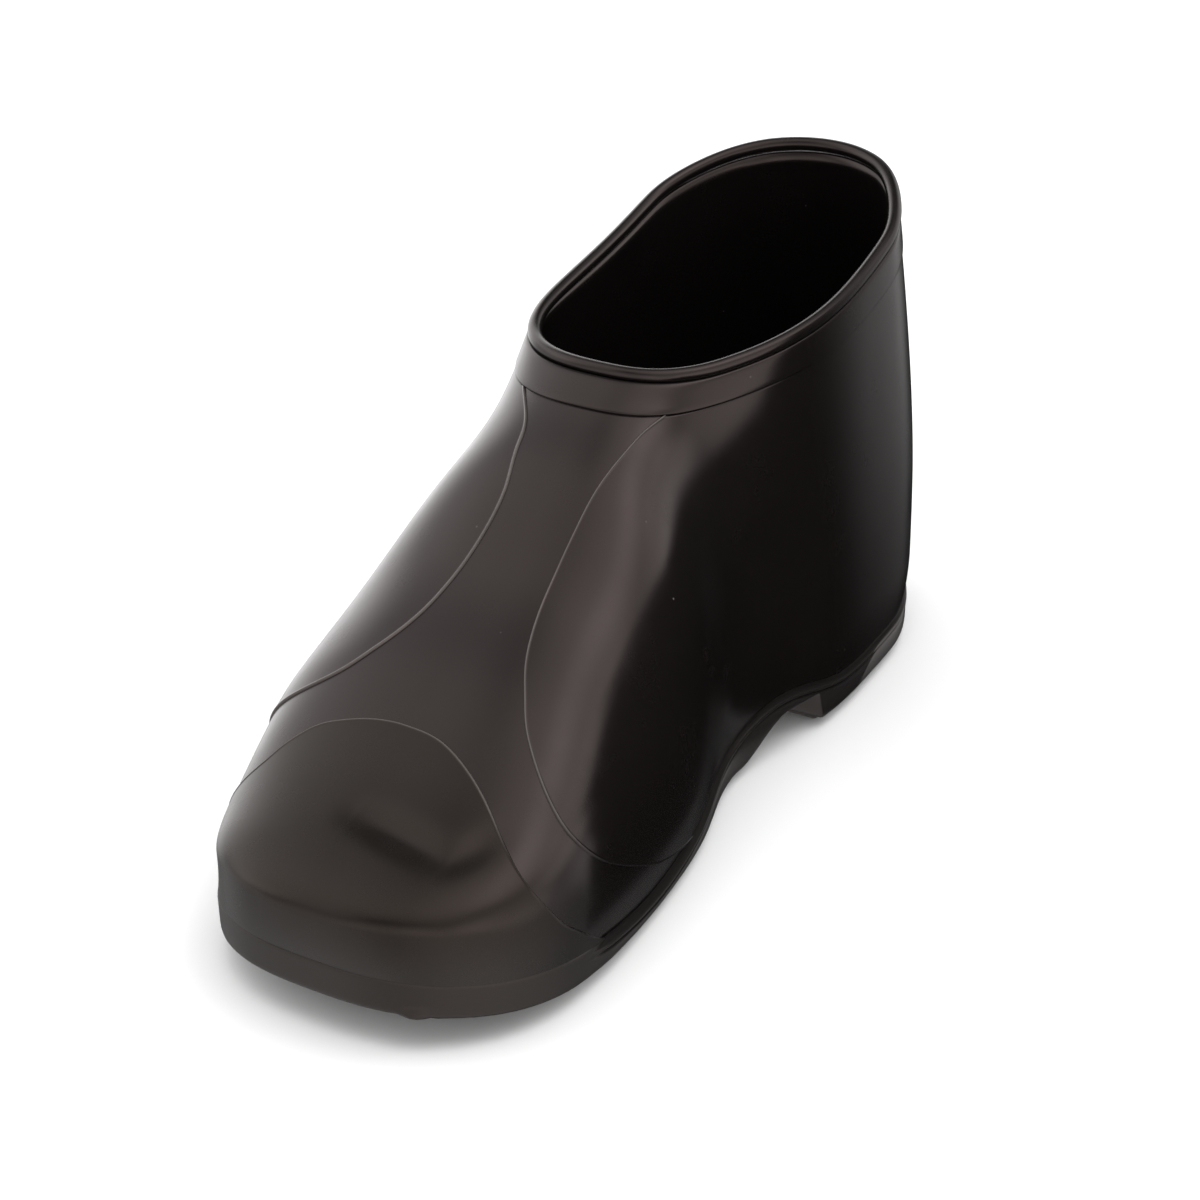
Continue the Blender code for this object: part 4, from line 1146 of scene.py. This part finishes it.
def round_corners(corners, radius, steps=6):
    """Closed outline with each corner rounded."""
    corners = np.array(corners, float)
    points = []
    for before, corner, after in zip(np.roll(corners, 1, axis=0), corners, np.roll(corners, -1, axis=0)):
        back, ahead = before - corner, after - corner
        cosine = float(unit(back) @ unit(ahead))
        half_turn = 0.5 * math.acos(max(-1.0, min(1.0, cosine)))
        room = CORNER_SHARE * min(np.linalg.norm(back), np.linalg.norm(ahead))
        cut = min(radius / max(math.tan(half_turn), 1e-3), room)
        first, last = corner + unit(back) * cut, corner + unit(ahead) * cut
        for t in np.linspace(0.0, 1.0, steps):
            points.append((1 - t) ** 2 * first + 2 * t * (1 - t) * corner + t * t * last)
    return np.array(points)


def lug_mesh(shape):
    """Points and faces of one lug, from its outline in stations and distances across."""
    plan = np.column_stack([shape[:, 1], LENGTH / 2.0 - shape[:, 0]])
    area = np.sum(plan[:, 0] * np.roll(plan[:, 1], -1) - np.roll(plan[:, 0], -1) * plan[:, 1])
    if area > 0.0:
        plan = plan[::-1]
    tangent = unit(np.roll(plan, -1, axis=0) - np.roll(plan, 1, axis=0))
    inward = np.column_stack([tangent[:, 1], -tangent[:, 0]])
    points = []
    for row in LUG_PROFILE:
        ring = plan + inward * row.inset
        height = sole_underside(LENGTH / 2.0 - ring[:, 1]) - row.depth
        points += [tuple(point) for point in np.column_stack([ring, height])]
    count = len(plan)
    last = len(points) - count
    faces = looped_faces(len(LUG_PROFILE), count)[:last]
    faces.append([count - 1 - i for i in range(count)])
    faces.append([last + i for i in range(count)])
    return points, faces


def make_tread():
    """All lugs of the tread, with rounded edges and soft roots."""
    outlines = [round_corners(cleat_corners(row), CLEAT_CORNER) for row in CLEATS]
    outlines += [round_corners(bar_corners(path), BAR_CORNER) for path in BARS]
    outlines.append(round_corners(pad_corners(HEEL_PAD_EDGE, HEEL_PAD_DEGREES), HEEL_PAD_CORNER))
    outlines.append(round_corners(pad_corners(TOE_PAD_EDGE, TOE_PAD_DEGREES), TOE_PAD_CORNER))
    points, faces = [], []
    for shape in outlines:
        lug_points, lug_faces = lug_mesh(shape)
        faces += [[len(points) + corner for corner in face] for face in lug_faces]
        points += lug_points
    piece = new_piece("tread_lugs", points, faces, rubber_of("lug"))
    return settle(piece, "sole_rubber", "outsole")


# Stage

FLOOR_SIZE = 8.0
FLOOR_ROUGHNESS = 0.8

# Soft glows of the room: bearing from the toe towards the inner side, height and spread, in degrees,
# and strength
Glow = namedtuple("Glow", "name bearing height spread strength")
GLOWS = table(Glow, (
    ("front_low", 0.0, 6.0, 42.0, 0.75),
    ("inner_front_low", 40.0, 6.0, 42.0, 0.7),
    ("inner_low", 80.0, 6.0, 42.0, 1.2),
    ("inner_rear_low", 120.0, 6.0, 42.0, 0.4),
    ("rear_low", 160.0, 6.0, 42.0, 1.1),
    ("outer_rear_low", -130.0, 5.0, 40.0, 2.3),
    ("outer_low", -80.0, 6.0, 42.0, 0.5),
    ("outer_front_low", -40.0, 6.0, 42.0, 0.45),
    ("outer_window", -70.0, 38.0, 42.0, 1.45),
    ("inner_side", 65.0, 38.0, 42.0, 0.25),
    ("inner_window", 112.0, 57.0, 26.0, 1.4),
    ("inner_rear_window", 127.0, 28.0, 24.0, 1.5),
    ("inner_high", 45.0, 68.0, 42.0, 1.1),
    ("rear_high", 135.0, 68.0, 42.0, 0.45),
    ("ceiling", 0.0, 90.0, 42.0, 0.35),
    ("front_below", 10.0, -35.0, 70.0, 0.55),
    ("outer_below", -65.0, -35.0, 60.0, 0.5),
    ("inner_below", 65.0, -35.0, 60.0, 0.7),
    ("rear_below", 120.0, -40.0, 60.0, 0.2),
))

# The light that brightens the floor
FILL_PLACE = (0.2, 0.1, 2.2)
FILL_SIZE = 2.6

# Dark veil beside the inner side, which shows in the gloss alone, in metres: its top at distances along
# the shoe, its reach and the cells of its mesh, the slewed and leaning sheet that it lies in, and the
# widths of its soft top and soft rear end
VeilRow = namedtuple("VeilRow", "along top")
VEIL_TOP = table(VeilRow, (
    (-0.1, -0.02), (-0.089, 0.005), (-0.086, 0.03), (-0.08, 0.073), (-0.058, 0.092), (-0.045, 0.104),
    (-0.037, 0.127), (-0.025, 0.119), (0.0, 0.111), (0.022, 0.113), (0.036, 0.118), (0.046, 0.135),
    (0.06, 0.18), (0.21, 0.21),
))
VEIL_COLOUR = (0.004, 0.004, 0.004)
VEIL_FROM = -0.1
VEIL_TO = 0.2
VEIL_HEIGHT = 0.21
VEIL_CELL = 0.003
VEIL_DISTANCE = 0.06
VEIL_SLEW = -0.16
VEIL_LEAN = 0.2
VEIL_SOFT = 0.008
VEIL_END = 0.19
VEIL_FADE = 0.13


def looking(place, aim, roll=0.0):
    """Placement at a point, facing another, turned about the line of sight by degrees."""
    facing = (Vector(aim) - Vector(place)).to_track_quat("-Z", "Y").to_matrix().to_4x4()
    return Matrix.Translation(place) @ facing @ Matrix.Rotation(math.radians(roll), 4, "Z")


def staged_mesh(name, points, faces, material):
    """A mesh of the stage, which isn't part of the shoe."""
    mesh = bpy.data.meshes.new(name)
    mesh.from_pydata(points, [], faces)
    mesh.materials.append(material)
    made = bpy.data.objects.new(name, mesh)
    bpy.context.scene.collection.objects.link(made)
    return made


def make_floor(settings):
    """Pale floor that the rubber's gloss doesn't show."""
    paint = bpy.data.materials.new("floor_paint")
    paint.use_nodes = True
    shader = paint.node_tree.nodes["Principled BSDF"]
    shader.inputs["Base Color"].default_value = (*settings.floor_colour, 1.0)
    shader.inputs["Roughness"].default_value = FLOOR_ROUGHNESS
    half = FLOOR_SIZE / 2.0
    corners = [(-half, -half, 0.0), (half, -half, 0.0), (half, half, 0.0), (-half, half, 0.0)]
    floor = staged_mesh("floor", corners, [(0, 1, 2, 3)], paint)
    floor.visible_glossy = False


def black_gauze():
    """Black that thins out where the mesh attribute cover is under 1."""
    gauze = bpy.data.materials.new("black_gauze")
    gauze.use_nodes = True
    tree = gauze.node_tree
    black = tree.nodes["Principled BSDF"]
    black.inputs["Base Color"].default_value = (*VEIL_COLOUR, 1.0)
    black.inputs["Specular IOR Level"].default_value = 0.0
    cover = node(tree, "ShaderNodeAttribute", (0, 200), attribute_name="cover")
    clear = node(tree, "ShaderNodeBsdfTransparent", (0, -200))
    blend = node(tree, "ShaderNodeMixShader", (300, 0), cover.outputs["Fac"], clear.outputs["BSDF"],
                 black.outputs["BSDF"])
    tree.links.new(blend.outputs["Shader"], tree.nodes["Material Output"].inputs["Surface"])
    return gauze


def make_veil():
    """Dark veil beside the inner side, which neither the camera nor the floor sees."""
    along = np.arange(VEIL_FROM, VEIL_TO + 0.5 * VEIL_CELL, VEIL_CELL)
    height = np.arange(0.0, VEIL_HEIGHT + 0.5 * VEIL_CELL, VEIL_CELL)
    y, z = np.meshgrid(along, height, indexing="ij")
    x = VEIL_DISTANCE + VEIL_SLEW * y + VEIL_LEAN * z
    top = np.interp(y, column(VEIL_TOP, "along"), column(VEIL_TOP, "top"))
    cover = smooth((top - z) / VEIL_SOFT + 0.5) * smooth((VEIL_END - y) / VEIL_FADE)
    count = len(height)
    first = (np.arange(len(along) - 1)[:, None] * count + np.arange(count - 1)[None]).ravel()
    faces = np.stack([first, first + count, first + count + 1, first + 1], axis=-1).tolist()
    points = np.stack([x, y, z], axis=-1).reshape(-1, 3).tolist()
    veil = staged_mesh("dark_veil", points, faces, black_gauze())
    shares = veil.data.attributes.new("cover", "FLOAT", "POINT")
    shares.data.foreach_set("value", cover.ravel().astype(np.float32))
    veil.visible_camera = veil.visible_shadow = veil.visible_diffuse = False


def make_fill(settings):
    """The floor's own light, kept out of the gloss."""
    fill = bpy.data.lights.new("floor_fill", "AREA")
    fill.shape = "DISK"
    fill.size = FILL_SIZE
    fill.energy = settings.fill_power
    holder = bpy.data.objects.new("floor_fill", fill)
    holder.matrix_world = looking(FILL_PLACE, (0.0, 0.0, 0.0))
    holder.visible_glossy = False
    bpy.context.scene.collection.objects.link(holder)


def make_room(settings):
    """Surroundings: the sum of the soft glows, behind a plain backdrop that the camera alone sees."""
    world = bpy.data.worlds.new("soft_room")
    world.use_nodes = True
    tree = world.node_tree
    way = node(tree, "ShaderNodeTexCoord", (-1100, 0)).outputs["Generated"]
    total = None
    for index, glow in enumerate(GLOWS):
        bearing, height = math.radians(glow.bearing), math.radians(glow.height)
        centre_way = (math.cos(height) * math.sin(bearing), -math.cos(height) * math.cos(bearing),
                      math.sin(height))
        towards = node(tree, "ShaderNodeVectorMath", (-900, -220 * index), way,
                       name=glow.name, operation="DOT_PRODUCT")
        towards.inputs[1].default_value = centre_way
        falloff = node(tree, "ShaderNodeMapRange", (-700, -220 * index), towards.outputs["Value"],
                       interpolation_type="SMOOTHSTEP", from_min=math.cos(math.radians(glow.spread)),
                       to_max=glow.strength * settings.room_strength)
        light = falloff.outputs["Result"]
        if total is not None:
            light = node(tree, "ShaderNodeMath", (-450, -220 * index), total, light,
                         operation="ADD").outputs["Value"]
        total = light
    glows = tree.nodes["Background"]
    glows.inputs["Color"].default_value = (*settings.room_colour, 1.0)
    tree.links.new(total, glows.inputs["Strength"])
    backdrop = node(tree, "ShaderNodeBackground", (0, -300), color=(*settings.backdrop_colour, 1.0))
    ray = node(tree, "ShaderNodeLightPath", (0, 300))
    seen = node(tree, "ShaderNodeMixShader", (300, 0), ray.outputs["Is Camera Ray"],
                glows.outputs["Background"], backdrop.outputs["Background"])
    tree.links.new(seen.outputs["Shader"], tree.nodes["World Output"].inputs["Surface"])
    bpy.context.scene.world = world


def make_camera():
    """Camera of the main view."""
    scene = bpy.context.scene
    lens = bpy.data.cameras.new("camera")
    lens.lens = CAMERA_LENS
    lens.sensor_width = CAMERA_SENSOR
    lens.clip_start, lens.clip_end = CAMERA_CLIP
    camera = bpy.data.objects.new("camera", lens)
    camera.matrix_world = looking(CAMERA_PLACE, CAMERA_AIM, CAMERA_ROLL)
    scene.collection.objects.link(camera)
    scene.camera = camera


def make_stage(settings):
    """Pale floor, soft lights, plain surroundings and the camera."""
    make_floor(settings)
    make_veil()
    make_fill(settings)
    make_room(settings)
    make_camera()
    bpy.context.scene.view_settings.view_transform = "Standard"


# Add-on

def length(name, description, default, **limits):
    """A size in metres."""
    return FloatProperty(name=name, description=description, default=default, subtype="DISTANCE",
                         unit="LENGTH", precision=4, **limits)


def colour(name, description, default):
    """A linear colour."""
    return FloatVectorProperty(name=name, description=description, default=default, subtype="COLOR",
                               size=3, min=0.0, max=1.0)


def share(name, description, default):
    """A value from 0 to 1."""
    return FloatProperty(name=name, description=description, default=default, subtype="FACTOR",
                         min=0.0, max=1.0)


class OvershoeSizes(bpy.types.PropertyGroup):
    """Sizes of the moulded rubber."""
    wall: length("Wall", "Thickness of the upper under its panels", 0.002, min=0.001, max=0.003)
    panel_step: length("Quarter step", "Height of the quarter panel's edge", 0.0005, min=0.0, max=0.001)
    cap_step: length("Cap step", "Height of the toe cap's edge", 0.0004, min=0.0, max=0.001)
    bead_radius: length("Bead radius", "Radius of the collar's rolled bead", 0.00225, min=0.001, max=0.00225)


class OvershoeFinish(bpy.types.PropertyGroup):
    """Colours and roughness of the rubber."""
    upper: colour("Upper", "Colour of the upper and the collar", (0.0034, 0.0027, 0.0025))
    cap: colour("Toe cap", "Colour of the duller toe cap", (0.0042, 0.0034, 0.0029))
    sole: colour("Sole", "Colour of the sole and the tread", (0.009, 0.0084, 0.008))
    tint: colour("Upper tint", "Colour of the gloss of the upper", (0.86, 0.69, 0.66))
    cap_tint: colour("Cap and sole tint", "Colour of the gloss of toe cap and sole", (0.64, 0.51, 0.45))
    upper_roughness: share("Upper roughness", "Roughness of the satin upper", 0.25)
    cap_roughness: share("Toe cap roughness", "Roughness of the toe cap", 0.28)
    sole_roughness: share("Sole roughness", "Roughness of the sole", 0.34)


class OvershoeStage(bpy.types.PropertyGroup):
    """Floor, lights and surroundings."""
    floor_colour: colour("Floor", "Colour of the floor", (0.86, 0.86, 0.86))
    room_colour: colour("Room", "Colour of the light that comes from all round", (1.0, 1.0, 1.0))
    backdrop_colour: colour("Backdrop", "Colour of the plain backdrop behind the floor", (0.96, 0.96, 0.96))
    room_strength: FloatProperty(
        name="Room strength", description="Strength of the soft glows, as a multiple",
        default=1.0, min=0.0, max=5.0)
    fill_power: FloatProperty(
        name="Fill power", description="Power of the light that brightens the floor",
        default=30.0, min=0.0, max=500.0, subtype="POWER", unit="POWER")


class OVERSHOE_OT_upper(bpy.types.Operator):
    """Make the hollow shell of the upper"""
    bl_idname = "overshoe.upper"
    bl_label = "Upper"

    def execute(self, context):
        make_upper(context.scene.overshoe_sizes)
        return {"FINISHED"}


class OVERSHOE_OT_quarter_panel(bpy.types.Operator):
    """Make the raised panel round the rear of the shoe"""
    bl_idname = "overshoe.quarter_panel"
    bl_label = "Quarter Panel"

    def execute(self, context):
        make_quarter_panel(context.scene.overshoe_sizes)
        return {"FINISHED"}


class OVERSHOE_OT_toe_cap(bpy.types.Operator):
    """Make the raised cap over the toe"""
    bl_idname = "overshoe.toe_cap"
    bl_label = "Toe Cap"

    def execute(self, context):
        make_toe_cap(context.scene.overshoe_sizes)
        return {"FINISHED"}


class OVERSHOE_OT_collar(bpy.types.Operator):
    """Make the collar's flat band and its rolled bead"""
    bl_idname = "overshoe.collar"
    bl_label = "Collar"

    def execute(self, context):
        make_collar_band()
        make_collar_bead(context.scene.overshoe_sizes)
        return {"FINISHED"}


class OVERSHOE_OT_sole(bpy.types.Operator):
    """Make the sole with its side rib and the outline of the bare oval"""
    bl_idname = "overshoe.sole"
    bl_label = "Sole"

    def execute(self, context):
        make_sole()
        make_oval()
        return {"FINISHED"}


class OVERSHOE_OT_tread(bpy.types.Operator):
    """Make the lugs of the tread"""
    bl_idname = "overshoe.tread"
    bl_label = "Tread"

    def execute(self, context):
        make_tread()
        return {"FINISHED"}


class OVERSHOE_OT_stage(bpy.types.Operator):
    """Make the floor, the lights and the camera"""
    bl_idname = "overshoe.stage"
    bl_label = "Stage"

    def execute(self, context):
        make_stage(context.scene.overshoe_stage)
        return {"FINISHED"}


class OVERSHOE_PT_panel(bpy.types.Panel):
    """Sizes, finishes and pieces of the overshoe"""
    bl_label = "Rubber Overshoe"
    bl_idname = "OVERSHOE_PT_panel"
    bl_space_type = "VIEW_3D"
    bl_region_type = "UI"
    bl_category = "Overshoe"

    def draw(self, context):
        scene = context.scene
        for title, group in (("Sizes", scene.overshoe_sizes), ("Finish", scene.overshoe_finish),
                             ("Stage", scene.overshoe_stage)):
            box = self.layout.box()
            box.label(text=title)
            for name in group.bl_rna.properties.keys():
                if name not in ("rna_type", "name"):
                    box.prop(group, name)
        for operator in OPERATORS:
            self.layout.operator(operator.bl_idname)


OPERATORS = (
    OVERSHOE_OT_upper,
    OVERSHOE_OT_quarter_panel,
    OVERSHOE_OT_toe_cap,
    OVERSHOE_OT_collar,
    OVERSHOE_OT_sole,
    OVERSHOE_OT_tread,
    OVERSHOE_OT_stage,
)
GROUPS = {
    "overshoe_sizes": OvershoeSizes,
    "overshoe_finish": OvershoeFinish,
    "overshoe_stage": OvershoeStage,
}


def register():
    """Add the properties, the operators and the panel."""
    for name, group in GROUPS.items():
        bpy.utils.register_class(group)
        setattr(bpy.types.Scene, name, PointerProperty(type=group))
    for operator in OPERATORS:
        bpy.utils.register_class(operator)
    bpy.utils.register_class(OVERSHOE_PT_panel)


def unregister():
    """Take them away again."""
    bpy.utils.unregister_class(OVERSHOE_PT_panel)
    for operator in reversed(OPERATORS):
        bpy.utils.unregister_class(operator)
    for name, group in GROUPS.items():
        delattr(bpy.types.Scene, name)
        bpy.utils.unregister_class(group)


def main():
    """Build the whole shoe and its stage."""
    register()
    bpy.ops.overshoe.upper()
    bpy.ops.overshoe.quarter_panel()
    bpy.ops.overshoe.toe_cap()
    bpy.ops.overshoe.collar()
    bpy.ops.overshoe.sole()
    bpy.ops.overshoe.tread()
    bpy.ops.overshoe.stage()


if __name__ == "__main__":
    main()
